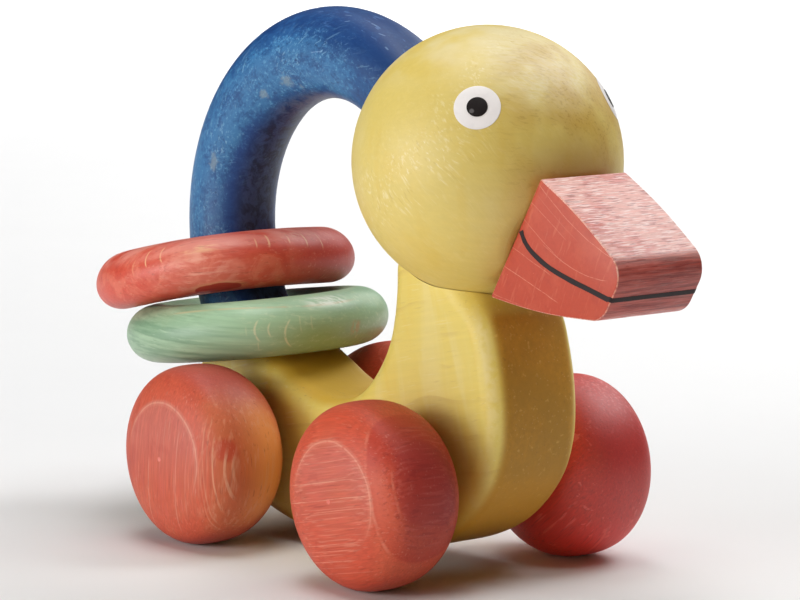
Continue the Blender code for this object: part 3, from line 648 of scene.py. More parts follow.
def marks_plain(g, col, lx, ly, lz, r, line, seed):
    wave = g.m('MULTIPLY', g.noise(g.p, 0.07, 3, w=seed + 5), 9.0)
    lev = g.m('ADD', g.m('ADD', g.m('MULTIPLY', lx, 0.8), g.m('MULTIPLY', lz, 0.5)), wave)
    saw = g.m('FRACT', g.m('DIVIDE', lev, 4.1))
    s = g.mul(g.stripe(saw, 0.5, 0.02, 0.035), g.band(g.noise(g.p, 0.11, 2, w=seed + 3), 0.46, 0.62))
    col = g.tint(col, s, line, 0.42)
    return col, s


# ---- rings: local angle round the ring and round its section
def ring_axes(at, tilt):
    rot = Matrix.Rotation(radians(tilt[1]), 3, 'Y') @ Matrix.Rotation(radians(tilt[0]), 3, 'X')
    return at, rot @ Vector((1, 0, 0)), rot @ Vector((0, 1, 0)), rot @ Vector((0, 0, 1))


def ring_fields(g, at, tilt):
    loc = g.basis(g.p, *ring_axes(at, tilt))
    x, y, z = g.sep(loc)
    ang = g.m('MULTIPLY', g.m('ARCTAN2', y, x), 180 / pi)
    rho = g.v("LENGTH", g.comb(x, y, 0.0))
    sec = g.m('MULTIPLY', g.m('ARCTAN2', g.m('DIVIDE', z, RING_SEC_H),
                              g.m('DIVIDE', g.m('SUBTRACT', rho, RING_R), RING_SEC_R)), 180 / pi)
    return loc, x, y, z, ang, sec


def ring_arcs(g, ang, sec, arcs):
    """(angle, bend, middle of the section, half length, half width, strength), degrees"""
    out = None
    for a0, bend, mid, half, wide, power in arcs:
        d = g.m('SUBTRACT', sec, mid)
        path = g.m('ADD', ang, g.m('MULTIPLY', g.m('MULTIPLY', d, d), -bend))
        s = g.m('MULTIPLY', g.mul(g.stripe(path, a0, wide, wide * 1.1), g.window(d, -half, half, 5.0)), power)
        out = s if out is None else g.most(out, s)
    return out


def red_ring():
    g = Wood("glaze_red_ring", RED_AT, (0.636, 0.772, 0.08))
    loc, x, y, z, ang, sec = ring_fields(g, RED_AT, RED_TILT)
    base, light, deep = lin(206, 80, 60), lin(220, 116, 92), lin(184, 52, 40)
    cloud = g.noise(g.p, 0.16, 5, 0.62, 0.8)
    near = g.band(ang, 8.0, -22.0)
    col = g.tint(base, g.mul(g.band(cloud, 0.50, 0.62), near), light, 0.65)
    col = g.tint(col, g.band(cloud, 0.47, 0.34), deep, 0.42)
    col = g.shade(col, g.grain(1.1, 0.12, 6, 0.66), 0.86, 1.14)
    pale = lin(236, 190, 142)
    arcs = ring_arcs(g, ang, sec, ((-73.5, 0.0032, 38, 17, 0.24, 0.95), (-65.6, 0.0040, 42, 16, 0.26, 1.0),
                                   (-21.2, -0.0016, 40, 9, 0.22, 0.75), (-15.2, -0.0022, 42, 13, 0.28, 1.0),
                                   (4.0, -0.0020, 36, 15, 0.26, 0.85), (13.0, -0.0020, 30, 18, 0.26, 0.80),
                                   (-5.0, -0.0020, 42, 10, 0.26, 0.70), (-80.5, 0.0030, 22, 16, 0.25, 0.28)))
    broken = g.band(g.noise(g.p, 0.9, 3, 0.6), 0.28, 0.48)
    col = g.tint(col, g.mul(arcs, g.m('ADD', g.m('MULTIPLY', broken, 0.7), 0.3)), pale, 0.75)
    # worn, paler stretch between the arcs
    belt = g.mul(g.window(ang, -62.0, -34.0, 16.0), g.window(sec, -48.0, 52.0, 12.0))
    patch = g.band(g.noise(g.v("MULTIPLY", g.q, (0.26, 0.26, 0.10)), 1.0, 5, 0.68, 0.8, w=3.0), 0.46, 0.62)
    col = g.tint(col, g.mul(belt, g.m('ADD', g.m('MULTIPLY', patch, 0.7), 0.3)), lin(238, 168, 146), 0.74)
    wisp = g.hairs(1.3, 0.085, 0.55, 0.70, detail=5)
    col = g.tint(col, g.mul(belt, wisp), lin(236, 180, 160), 0.34)
    # paler upper shoulder: painted light from above, broken by streaks
    upper = g.mul(g.band(sec, 22.0, 48.0), g.band(g.noise(g.v("MULTIPLY", g.q, (0.3, 0.3, 0.05)), 1.0, 4, w=6.0), 0.36, 0.60))
    col = g.tint(col, upper, lin(232, 154, 138), 0.62)
    # painted highlight on the upper shoulder
    spot = g.mul(g.window(ang, -54.0, -40.0, 4.0), g.window(sec, 34.0, 54.0, 6.0), g.band(g.grain(1.3, 0.14, 4, w=2.0), 0.46, 0.62))
    col = g.tint(col, spot, pale, 0.60)
    # painted highlight on the top towards the front end
    painted_highlight_front = g.mul(g.window(ang, -4.0, 4.0, 2.0), g.window(sec, 42.0, 58.0, 5.0), g.band(g.grain(1.3, 0.14, 4, w=5.0), 0.44, 0.60))
    col = g.tint(col, painted_highlight_front, lin(226, 170, 150), 0.50)
    # oval patch near the foot, with a worn rim over it
    ox = g.m('DIVIDE', g.m('ADD', ang, 41.0), 11.5)
    oy = g.m('DIVIDE', g.m('ADD', sec, 53.0), 17.0)
    od = g.m('ADD', g.v("LENGTH", g.comb(ox, oy, 0.0)), g.m('MULTIPLY', g.m('SUBTRACT', g.noise(g.p, 0.35, 3), 0.5), 0.45))
    over = g.mul(g.band(od, 1.55, 1.05), g.band(sec, -62.0, -36.0))
    col = g.tint(col, over, lin(208, 140, 100), 0.62)
    col = g.tint(col, g.band(od, 1.06, 0.94), lin(168, 34, 30), 0.90)
    # darker towards the front end
    col = g.tint(col, g.band(ang, -16.0, 18.0), lin(150, 38, 35), 0.54)
    col = g.tint(col, g.hairs(2.2, 0.14, 0.59, 0.70, detail=4), lin(232, 168, 136), 0.25)
    col = g.tint(col, g.hairs(2.0, 0.14, 0.58, 0.70, detail=4, w=4.0), lin(128, 32, 26), 0.30)
    relief = g.m('ADD', g.m('MULTIPLY', g.grain(1.8, 0.14, 4), 0.7), g.m('MULTIPLY', arcs, 0.5))
    nrm = g.bump(relief, 0.28, 0.00016)
    ro = g.m('ADD', g.m('MULTIPLY', g.grain(0.8, 0.1, 3, w=6.0), 0.16), 0.38)
    return g.finish(col, ro, nrm, specular=0.40, coat=0.10, coat_rough=0.30)


def green_ring():
    g = Wood("glaze_green", GREEN_AT, (0.636, 0.772, -0.02))
    loc, x, y, z, ang, sec = ring_fields(g, GREEN_AT, GREEN_TILT)
    base, light, deep = lin(158, 192, 156), lin(174, 206, 170), lin(129, 167, 133)
    # broad long streaks on the left, fading towards the front
    wavy = g.v("ADD", g.q, g.v("SCALE", g.noise_vec(g.q, 0.03, 1), scale=1.2))
    streak = g.noise(g.v("MULTIPLY", wavy, (0.56, 0.07, 0.012)), 1.0, 3, 0.5)
    thin = g.noise(g.v("MULTIPLY", wavy, (1.5, 0.22, 0.035)), 1.0, 4, 0.6)
    left = g.band(g.sep(g.q)[2], 4.0, -16.0)
    amount = g.m('ADD', g.m('MULTIPLY', left, 0.75), 0.25)
    col = g.tint(base, g.mul(g.band(streak, 0.50, 0.58), amount), light, 0.85)
    col = g.tint(col, g.mul(g.band(streak, 0.49, 0.40), amount), deep, 0.70)
    col = g.tint(col, g.mul(g.band(thin, 0.55, 0.66), amount), lin(184, 214, 178), 0.50)
    col = g.tint(col, g.mul(g.band(thin, 0.46, 0.36), amount), lin(118, 156, 120), 0.45)
    cloud = g.noise(g.p, 0.14, 4, 0.6, w=2.0)
    col = g.tint(col, g.band(cloud, 0.52, 0.66), lin(166, 190, 148), 0.40)
    col = g.shade(col, g.band(g.sep(g.q)[2], 0.0, -22.0), 1.0, 0.82)
    # painted reflection of the yellow body on the lower front of the ring
    painted_body_reflection = g.mul(g.band(ang, -44.0, -8.0), g.band(sec, 24.0, -30.0))
    col = g.tint(col, painted_body_reflection, lin(140, 162, 88), 0.46)
    col = g.shade(col, g.grain(1.3, 0.10, 5, 0.64, w=9.0), 0.90, 1.10)
    tan = lin(224, 218, 180)
    arcs = ring_arcs(g, ang, sec, ((-38.4, 0.0040, -2, 20, 0.30, 1.0), (-32.6, 0.0050, -2, 13, 0.26, 0.85),
                                   (-25.6, 0.0034, -14, 28, 0.30, 1.0), (-18.6, 0.0012, 4, 14, 0.20, 0.55),
                                   (-13.4, 0.0010, 4, 12, 0.20, 0.50), (-37.4, 0.0010, -34, 9, 0.20, 0.60),
                                   (-42.0, 0.0010, 0, 8, 0.20, 0.35)))
    broken = g.band(g.noise(g.p, 1.0, 3, 0.65), 0.30, 0.50)
    col = g.tint(col, g.mul(arcs, broken), tan, 0.62)
    knot = g.mul(g.window(ang, 7.6, 12.4, 1.6), g.window(sec, -30.0, -4.0, 6.0), g.band(g.noise(g.v("MULTIPLY", g.p, (1.4, 1.4, 0.5)), 1.0, 3), 0.40, 0.58))
    col = g.tint(col, knot, lin(196, 150, 100), 0.75)
    # pale growth line along the upper shoulder
    way = g.m('ADD', sec, g.m('MULTIPLY', g.m('SINE', g.m('MULTIPLY', g.m('ADD', ang, 30.0), 3.2 * pi / 180)), 7.0))
    top_line = g.mul(g.stripe(way, 46.0, 1.2, 3.0), g.window(ang, -78.0, 12.0, 6.0), g.band(g.noise(g.p, 0.25, 3, w=5.0), 0.30, 0.52))
    col = g.tint(col, top_line, lin(192, 184, 142), 0.70)
    speck = g.mul(g.band(g.noise(g.v("MULTIPLY", g.q, (1.2, 1.2, 0.35)), 1.0, 5, 0.7, w=12.0), 0.52, 0.66), g.band(ang, -52.0, -34.0))
    col = g.tint(col, speck, lin(204, 216, 180), 0.45)
    # painted highlight with streaks on the top towards the front
    painted_highlight_green = g.mul(g.window(ang, -12.0, 8.0, 4.0), g.window(sec, 36.0, 62.0, 8.0), g.band(g.grain(1.1, 0.08, 4, w=8.0), 0.38, 0.56))
    col = g.tint(col, painted_highlight_green, lin(226, 234, 220), 0.85)
    col = g.tint(col, g.specks(0.8, 0.10, 0.12, seed=6.0), lin(74, 100, 70), 0.5)
    relief = g.m('ADD', g.m('MULTIPLY', thin, 0.6), g.m('MULTIPLY', g.grain(1.6, 0.14, 4), 0.5))
    nrm = g.bump(relief, 0.30, 0.00018)
    ro = g.m('ADD', g.m('MULTIPLY', g.grain(0.8, 0.06, 3, w=6.0), 0.16), 0.34)
    return g.finish(col, ro, nrm, specular=0.50, coat=0.12, coat_rough=0.28)


# ---- blue handle: mottled glaze, rubbed where hands hold it
def blue_handle():
    g = Wood("glaze_blue")
    loc = g.basis(g.p, (ARC_X, 0, ARC_Z), (1, 0, 0), (0, 1, 0), (0, 0, 1))
    x, y, z = g.sep(loc)
    rho = g.v("LENGTH", g.comb(x, 0.0, z))
    along = g.m('MULTIPLY', g.m('ARCTAN2', z, g.m('MULTIPLY', x, -1.0)), ARC_R)   # mm along the bend
    q = g.comb(g.m('SUBTRACT', rho, ARC_R), y, along)
    deg = g.m('MULTIPLY', along, 180 / (pi * ARC_R))
    phi = g.m('MULTIPLY', g.m('ARCTAN2', y, g.m('SUBTRACT', rho, ARC_R)), 180 / pi)     # 0 outside, -90 right
    mid, light, navy = lin(38, 82, 134), lin(68, 130, 178), lin(24, 56, 108)
    n1 = g.noise(g.v("MULTIPLY", q, (0.13, 0.13, 0.09)), 1.0, 6, 0.66, 0.6)
    n2 = g.noise(g.v("MULTIPLY", q, (0.50, 0.50, 0.34)), 1.0, 6, 0.72, 0.8)
    n3 = g.noise(g.v("MULTIPLY", q, (1.6, 1.6, 1.1)), 1.0, 5, 0.68)
    mott = g.m('ADD', g.m('MULTIPLY', n1, 0.36), g.m('ADD', g.m('MULTIPLY', n2, 0.40), g.m('MULTIPLY', n3, 0.24)))
    # rubbed band along the right flank: it keeps off the outside of the bow, and ends before the head
    lean = g.m('MULTIPLY', g.band(deg, 22.0, 58.0), 22.0)
    low_edge = g.m('SUBTRACT', phi, g.m('MULTIPLY', lean, -0.35))
    side = g.mul(g.band(low_edge, -152.0, -118.0), g.band(g.m('ADD', phi, lean), -18.0, -58.0))
    ends = g.mul(g.band(deg, 128.0, 92.0), g.band(g.m('ADD', g.m('SUBTRACT', deg, 66.0), g.m('MULTIPLY', g.m('ADD', phi, 40.0), -1.2)), -14.0, 14.0))
    rub = g.mul(side, g.band(deg, 132.0, 100.0))
    other = g.mul(g.band(phi, 10.0, 60.0), g.band(phi, 150.0, 110.0))
    rub = g.most(rub, g.m('MULTIPLY', other, 0.8))
    lift = g.m('ADD', mott, g.m('MULTIPLY', g.m('SUBTRACT', rub, 0.5), 0.17))
    col = g.tint(mid, g.band(lift, 0.50, 0.62), light, 0.60)
    col = g.tint(col, g.band(lift, 0.49, 0.39), navy, 0.80)
    col = g.tint(col, g.mul(g.band(n3, 0.54, 0.68), g.band(lift, 0.47, 0.56)), lin(108, 166, 202), 0.45)
    nicks = g.mul(g.hairs(0.9, 0.30, 0.60, 0.68, p=g.comb(g.m('MULTIPLY', g.sep(q)[0], 1.4), g.sep(q)[1], along), detail=4, w=2.0),
                  g.window(deg, 82.0, 124.0, 6.0), g.band(phi, -70.0, -30.0))
    far = g.mul(g.band(deg, 78.0, 104.0), g.band(phi, -96.0, -62.0), g.band(phi, 90.0, 30.0))
    col = g.tint(col, far, navy, 0.72)
    col = g.tint(col, nicks, lin(92, 128, 178), 0.45)
    tinge = g.mul(g.window(phi, -140.0, -108.0, 12.0), g.band(deg, 34.0, 14.0), g.band(n1, 0.38, 0.56))
    col = g.tint(col, tinge, lin(50, 76, 130), 0.50)
    wet = g.mul(g.window(phi, -156.0, -132.0, 9.0), g.band(deg, 58.0, 36.0))
    col = g.tint(col, wet, lin(26, 58, 122), 0.58)
    inside = g.mul(g.m('ADD', g.band(phi, -136.0, -164.0), g.band(phi, 136.0, 164.0)), g.band(deg, 76.0, 44.0))
    col = g.tint(col, inside, g.mix(g.band(n2, 0.42, 0.58), lin(31, 40, 64), lin(53, 67, 106)), 0.85)
    # brownish wear on the inside of the bow
    brown = g.mul(g.m('ADD', g.band(phi, -138.0, -158.0), g.band(phi, 138.0, 158.0)), g.window(deg, 58.0, 92.0, 9.0), g.band(n2, 0.38, 0.56))
    col = g.tint(col, brown, lin(108, 108, 118), 0.45)
    col = g.shade(col, g.mul(g.window(deg, 58.0, 122.0, 20.0), g.window(phi, -72.0, 40.0, 22.0)), 1.0, 1.22)
    # short scratches, three ways
    for k, (dirn, tint, power) in enumerate((((0.8, 0.5, 1.0), lin(146, 192, 218), 0.42),
                                             ((-0.6, 0.9, 0.7), lin(128, 178, 208), 0.36),
                                             ((0.2, -0.7, 1.0), lin(16, 34, 84), 0.42))):
        s = Vector(dirn).normalized()
        t = s.orthogonal().normalized()
        u = s.cross(t)
        sp = g.basis(q, (3.0 * k, 1.0, 2.0), t, u, s)
        h = g.mul(g.hairs(1.9, 0.26, 0.575, 0.67, p=sp, detail=3, w=float(k)), g.band(g.noise(q, 0.12, 2, w=float(k) + 4), 0.42, 0.60),
                  g.m('ADD', g.m('MULTIPLY', rub, 0.85), 0.15))
        col = g.tint(col, h, tint, power)
    # single marks: angle along the bow, angle round the bar, half sizes in mm
    marks = None
    for a0, f0, ha, hf, turn in ((94.5, -85.0, 0.04, 1.35, 1.35), (108.0, -20.0, 0.06, 0.38, 1.5), (98.6, -24.0, 0.05, 0.40, 1.3),
                                 (100.5, -34.0, 0.05, 0.26, 0.9), (113.0, -26.0, 0.05, 0.40, 1.2), (118.0, -36.0, 0.10, 0.16, 1.6)):
        da = g.m('MULTIPLY', g.m('SUBTRACT', deg, a0), pi * ARC_R / 180)
        df = g.m('MULTIPLY', g.m('SUBTRACT', phi, f0), pi * 8.8 / 180)
        c1, s1 = cos(turn), sin(turn)
        ua = g.m('SUBTRACT', g.m('MULTIPLY', da, c1), g.m('MULTIPLY', df, s1))
        ub = g.m('ADD', g.m('MULTIPLY', da, s1), g.m('MULTIPLY', df, c1))
        one = g.mul(g.stripe(ua, 0.0, ha, 0.10), g.stripe(ub, 0.0, hf, 0.45))
        marks = one if marks is None else g.most(marks, one)
    col = g.tint(col, marks, lin(140, 172, 208), 0.40)
    worn = None
    for a0, f0, size in ((75.0, -122.0, 1.9), (60.0, -121.0, 1.2), (22.5, -107.0, 1.5), (20.0, -106.0, 1.0), (80.0, -138.0, 1.0)):
        da = g.m('MULTIPLY', g.m('SUBTRACT', deg, a0), pi * ARC_R / 180 * 0.8)
        df = g.m('MULTIPLY', g.m('SUBTRACT', phi, f0), pi * 8.8 / 180)
        d = g.v("LENGTH", g.comb(da, df, 0.0))
        one = g.band(g.m('ADD', d, g.m('MULTIPLY', g.m('SUBTRACT', n2, 0.5), 5.0)), size, size * 0.2)
        worn = one if worn is None else g.most(worn, one)
    col = g.tint(col, worn, lin(140, 158, 162), 0.50)
    col = g.tint(col, g.specks(0.6, 0.10, 0.12, p=q, seed=1.0), lin(134, 184, 214), 0.5)
    col = g.shade(col, g.noise(g.v("MULTIPLY", q, (1.4, 1.4, 0.12)), 1.0, 4, 0.6), 0.88, 1.12)
    relief = g.m('ADD', g.m('MULTIPLY', n3, 0.4), g.m('MULTIPLY', n2, 0.6))
    nrm = g.bump(relief, 0.25, 0.00016)
    ro = g.m('ADD', g.m('MULTIPLY', n2, 0.22), 0.34)
    return g.finish(col, ro, nrm, specular=0.26, coat=0.08, coat_rough=0.28)


# ---- beak: fibre runs from side to side, so the sides show end grain
def beak_glaze():
    g = Wood("glaze_beak", (60.0, 0, 62.0), (0, 1, 0))
    x, y, z = g.sep(g.p)
    side = g.band(g.facing((0, 1, 0)), 0.70, 0.90)
    dx = g.m('SUBTRACT', x, 60.0)
    sq = g.m('MULTIPLY', dx, dx)
    wob = g.m('MULTIPLY', g.m('SUBTRACT', g.noise(g.p, 0.35, 3), 0.5), 0.35)
    lines = None
    for c0, c1, c2, lo, hi, power in ((72.88, -0.732, 0.0130, 52.0, 77.0, 0.95), (68.95, -0.650, -0.0040, 52.0, 63.0, 0.60),
                                      (64.25, -0.620, 0.0060, 50.5, 60.5, 0.75), (64.03, -0.493, 0.0185, 57.5, 73.5, 0.85),
                                      (60.02, -0.371, 0.0007, 47.0, 59.0, 0.80), (56.01, -0.350, 0.0000, 45.0, 61.0, 1.00),
                                      (52.50, -0.172, 0.0000, 42.0, 51.0, 0.70), (70.9, -0.70, 0.0100, 56.0, 66.0, 0.30)):
        cur = g.m('ADD', g.m('ADD', g.m('MULTIPLY', dx, c1), g.m('MULTIPLY', sq, c2)), c0)
        d = g.m('ADD', g.m('SUBTRACT', z, cur), wob)
        s = g.m('MULTIPLY', g.mul(g.stripe(d, 0.0, 0.02, 0.075), g.window(x, lo, hi, 0.8)), power)
        lines = s if lines is None else g.most(lines, s)
    lay = g.m('ADD', z, g.m('MULTIPLY', x, 0.5))
    red, light, deep = lin(186, 68, 42), lin(196, 84, 56), lin(170, 56, 38)
    end = g.tint(red, g.band(g.noise(g.p, 0.22, 4, 0.6), 0.46, 0.66), light, 0.50)
    end = g.tint(end, g.band(g.noise(g.p, 0.30, 4, 0.6, w=3.0), 0.52, 0.70), deep, 0.45)
    end = g.shade(end, g.noise(g.p, 1.8, 4, 0.6), 0.90, 1.10)
    rays = g.basis(g.p, (60, 0, 62), Vector((-0.42, 0, 1.0)).cross(Vector((0, 1, 0))), (0, 1, 0), (0.42, 0, 1.0))
    ray = g.hairs(1.5, 0.22, 0.60, 0.69, p=g.basis(g.p, (60, 0, 62), (1.0, 0, -0.45), (0, 0.02, 0), (0.45, 0, 1.0)), detail=3)
    end = g.tint(end, ray, lin(216, 124, 92), 0.22)
    fleck = g.band(g.noise(g.p, 0.9, 3, 0.6, w=8.0), 0.34, 0.52)
    end = g.tint(end, g.mul(lines, g.m('ADD', g.m('MULTIPLY', fleck, 0.75), 0.25)), lin(234, 168, 138), 0.55)
    end = g.tint(end, g.specks(0.55, 0.10, 0.20, seed=3.0), lin(232, 146, 110), 0.55)
    # long grain on top and front; the top is paler than the sides, partly its own long grain, partly painted sheen
    fib = g.grain(1.9, 0.10, 5, 0.62)
    band = g.noise(g.v("MULTIPLY", g.q, (0.45, 0.45, 0.03)), 1.0, 4, 0.6)
    painted_sheen_top = g.band(g.toward((0.45, 0, 0.90)), 0.62, 0.95)
    top = g.tint(lin(196, 92, 82), g.band(band, 0.46, 0.66), lin(212, 120, 106), 0.7)
    top = g.tint(top, g.band(band, 0.46, 0.34), lin(174, 70, 64), 0.7)
    # painted sheen on the upward-facing top
    top = g.tint(top, g.mul(painted_sheen_top, g.band(g.noise(g.p, 0.12, 3, w=4.0), 0.30, 0.58)), lin(240, 196, 186), 0.66)
    top = g.shade(top, fib, 0.76, 1.24)
    nose = g.band(g.toward((1.0, 0, -0.10)), 0.45, 0.80)
    above = g.m('SUBTRACT', 1.0, g.m('MULTIPLY', nose, 0.75))
    # near-white fibre streaks: grain lightened as painted sheen
    top = g.tint(top, g.mul(above, g.hairs(3.4, 0.34, 0.50, 0.62, detail=5)), lin(252, 232, 228), 0.66)
    top = g.tint(top, g.hairs(3.2, 0.34, 0.52, 0.63, detail=5, w=6.0), lin(140, 52, 48), 0.56)
    top = g.tint(top, g.mul(nose, g.hairs(2.0, 0.06, 0.53, 0.68, detail=5, w=11.0)), lin(206, 120, 108), 0.40)
    # painted shade on the nose, which faces away from the lamps, with fine streaks in it
    top = g.tint(top, nose, g.mix(g.band(fib, 0.38, 0.60), lin(108, 36, 33), lin(176, 82, 72)), 0.70)
    col = g.mix(side, top, end)
    # worn arrises, and a painted highlight along the upper ones
    rim = g.mul(g.window(g.facing((0, 1, 0)), 0.25, 0.92, 0.06), g.band(g.noise(g.p, 1.1, 3, w=2.0), 0.36, 0.54))
    col = g.tint(col, rim, lin(240, 172, 144), 0.60)
    # painted highlight along the upper arrises
    painted_highlight_arris = g.mul(g.window(g.facing((0, 1, 0)), 0.25, 0.72, 0.08), g.band(g.toward((0.35, 0, 0.94)), 0.10, 0.45))
    col = g.tint(col, g.mul(painted_highlight_arris, g.band(g.noise(g.p, 1.5, 4, w=5.0), 0.42, 0.54)), lin(250, 216, 202), 0.62)
    relief = g.m('ADD', g.m('MULTIPLY', g.m('MULTIPLY', fib, g.m('SUBTRACT', 1.0, side)), 1.0),
                 g.m('MULTIPLY', g.noise(g.p, 1.5, 4), 0.25))
    nrm = g.bump(relief, 0.55, 0.00022)
    ro = g.m('ADD', g.m('MULTIPLY', g.grain(1.2, 0.1, 3, w=6.0), 0.20), 0.32)
    return g.finish(col, ro, nrm, specular=0.34, coat=0.12, coat_rough=0.30)


def paint(name, rgb, rough, seed, spread=0.08, painted_glint_eye=None, gloss=0.42):
    g = Wood(name)
    n = g.noise(g.p, 0.9, 4, 0.6, w=seed)
    col = g.shade(rgb, n, 1.0 - spread, 1.0 + spread)
    col = g.tint(col, g.band(g.noise(g.p, 0.35, 2, w=seed + 1), 0.50, 0.72), tuple(min(1.0, c * 0.86 + 0.004) for c in rgb), 0.6)
    # painted glint: a soft grey spot on the black paint
    if painted_glint_eye:
        at, size, tone = painted_glint_eye
        d = g.v("LENGTH", g.v("SUBTRACT", g.p, at))
        s = g.band(g.m('ADD', d, g.m('MULTIPLY', g.m('SUBTRACT', n, 0.5), 0.5)), size, size * 0.5)
        col = g.tint(col, s, tone, 0.8)
    nrm = g.bump(g.noise(g.p, 1.6, 3, w=seed), 0.15, 0.0001)
    ro = g.m('ADD', g.m('MULTIPLY', n, 0.12), rough - 0.06)
    return g.finish(col, ro, nrm, specular=gloss)


def bare_wood():
    g = Wood("bare_wood", fibre=(0, 1, 0))
    col = g.tint((0.62, 0.44, 0.25), g.band(g.grain(0.5, 0.05, 4), 0.45, 0.62), (0.72, 0.55, 0.34), 0.7)
    col = g.shade(col, g.grain(2.0, 0.12, 4), 0.86, 1.12)
    col = g.tint(col, g.hairs(2.4, 0.3, 0.62, 0.70), (0.36, 0.23, 0.11), 0.4)
    return g.finish(col, 0.62, g.bump(g.grain(2.0, 0.2, 3), 0.3, 0.00015), specular=0.3)


def beak_dir():
    a = radians(BEAK_DOWN)
    return Vector((cos(a), 0.0, -sin(a)))


def eye_point(side, off, turn):
    """A place on the pupil: off mm from its middle, turned from the camera's right"""
    d = Vector((EYE_DIR[0], side * EYE_DIR[1], EYE_DIR[2])).normalized()
    right = Vector((0.636, 0.772, 0.0))
    right = (right - d * right.dot(d)).normalized()
    up = d.cross(right)
    if up.z < 0:
        up = -up
    a = radians(turn)
    return HEAD + d * (HEAD_R + 0.15) + (right * cos(a) + up * sin(a)) * off


YELLOW = yellow_body()
YELLOW_HEAD = yellow_head()
RED = {
    ("front", -1): red_roller("glaze_red_a", FRONT_X, -1, (0.975, 0, 0.22), marks_front_right, 1.0),
    ("rear", -1): red_roller("glaze_red_b", REAR_X, -1, (0.09, 0, 1.0), marks_rear_right, 4.0, (0.97, 1.13, 1.20)),
    ("front", 1): red_roller("glaze_red_c", FRONT_X, 1, (0.80, 0, 0.60), marks_far, 7.0, (1.14, 0.42, 0.46), 0.85),
    ("rear", 1): red_roller("glaze_red_d", REAR_X, 1, (0.8, 0, 0.6), marks_plain, 11.0, (1.0, 0.85, 0.85), 0.40),
}
RED_RING = red_ring()
BEAK_RED = beak_glaze()
BLUE = blue_handle()
GREEN = green_ring()
WHITE = paint("paint_white", (0.90, 0.865, 0.855), 0.34, 1.0, 0.03)
# the pupils carry a painted grey glint at the lower left
BLACK = paint("paint_black", (0.014, 0.010, 0.010), 0.34, 2.0, 0.2,
              painted_glint_eye=(eye_point(-1, 1.25, 218.0), 0.55, (0.16, 0.15, 0.15)))
MOUTH = paint("paint_mouth", (0.020, 0.012, 0.013), 0.55, 3.0, 0.25, gloss=0.25)
BARE = bare_wood()


# ----------------------------------------------------------------------- body
def body_outline():
    o = REAR_X
    pts = [
        (14.0, BELLY_Z, 's'), (34.0, BELLY_Z), (44.4, 3.9), (53.0, 6.6), (59.7, 10.2),
        (65.0, 14.9), (68.9, 20.4), (70.9, 26.5), (71.3, 32.5), (70.7, 38.5),
        (69.3, 44.5), (67.6, 49.3), (64.6, 52.8), (60.0, 56.5),
        (56.8, 61.0), (52.0, 64.8), (46.4, 65.4), (42.2, 62.9),
        (40.6, 58.0), (40.4, 53.0), (39.8, 48.0), (38.3, 42.6), (35.0, 37.2), (30.2, 32.4),
        (24.5, 29.9), (18.5, 29.5), (11.6, 31.1), (5.0, 34.1),
        (-0.8, 36.9), (-5.0, 39.6), (-8.2, 43.6), (-12.6, 46.2), (-17.6, 44.6), (-20.8, 39.6),
        (-21.4, 33.6), (-21.0, 27.6), (-19.4, 21.6), (-16.0, 15.8), (-10.6, 10.4), (-3.0, 6.5),
        (5.5, 3.9),
    ]
    out = smooth_outline([(p[0] + o, *p[1:]) for p in pts], 9)
    # the stretch that runs on past the handle's seat is eased
    for i0, i1 in ((262, 290),):
        for _ in range(60):
            old = [p.copy() for p in out]
            for i in range(i0, i1):
                w = 0.5 * sin(pi * (i - i0 + 0.5) / (i1 - i0)) ** 2
                out[i] = old[i] * (1 - w) + (old[i - 1] + old[i + 1]) * 0.5 * w
    return out


def handle_point(angle, rho=ARC_R):
    a = radians(angle)
    return Vector((ARC_X - rho * cos(a), 0.0, ARC_Z + rho * sin(a)))


def handle_dir(angle):
    a = radians(angle)
    return Vector((sin(a), 0.0, cos(a)))


def block_at(size, at, direction):
    x, y, z = axis_frame(direction)
    vs = [at + x * sx * size[0] / 2 + y * sy * size[1] / 2 + z * sz * size[2] / 2
          for sx, sy, sz in ((-1, -1, -1), (1, -1, -1), (1, 1, -1), (-1, 1, -1),
                             (-1, -1, 1), (1, -1, 1), (1, 1, 1), (-1, 1, 1))]
    o = obj_from("cutter", vs, [(0, 3, 2, 1), (4, 5, 6, 7), (0, 1, 5, 4), (1, 2, 6, 5),
                                (2, 3, 7, 6), (3, 0, 4, 7)], None, smooth=False)
    outward(o)
    return o


def rod_at(radius, length, at, direction, steps=64, scale_y=1.0):
    x, y, z = axis_frame(direction)
    return revolve("cutter", [(0, -length / 2), (radius, -length / 2), (radius, length / 2), (0, length / 2)],
                   steps, (x, y * scale_y, z), at, None)


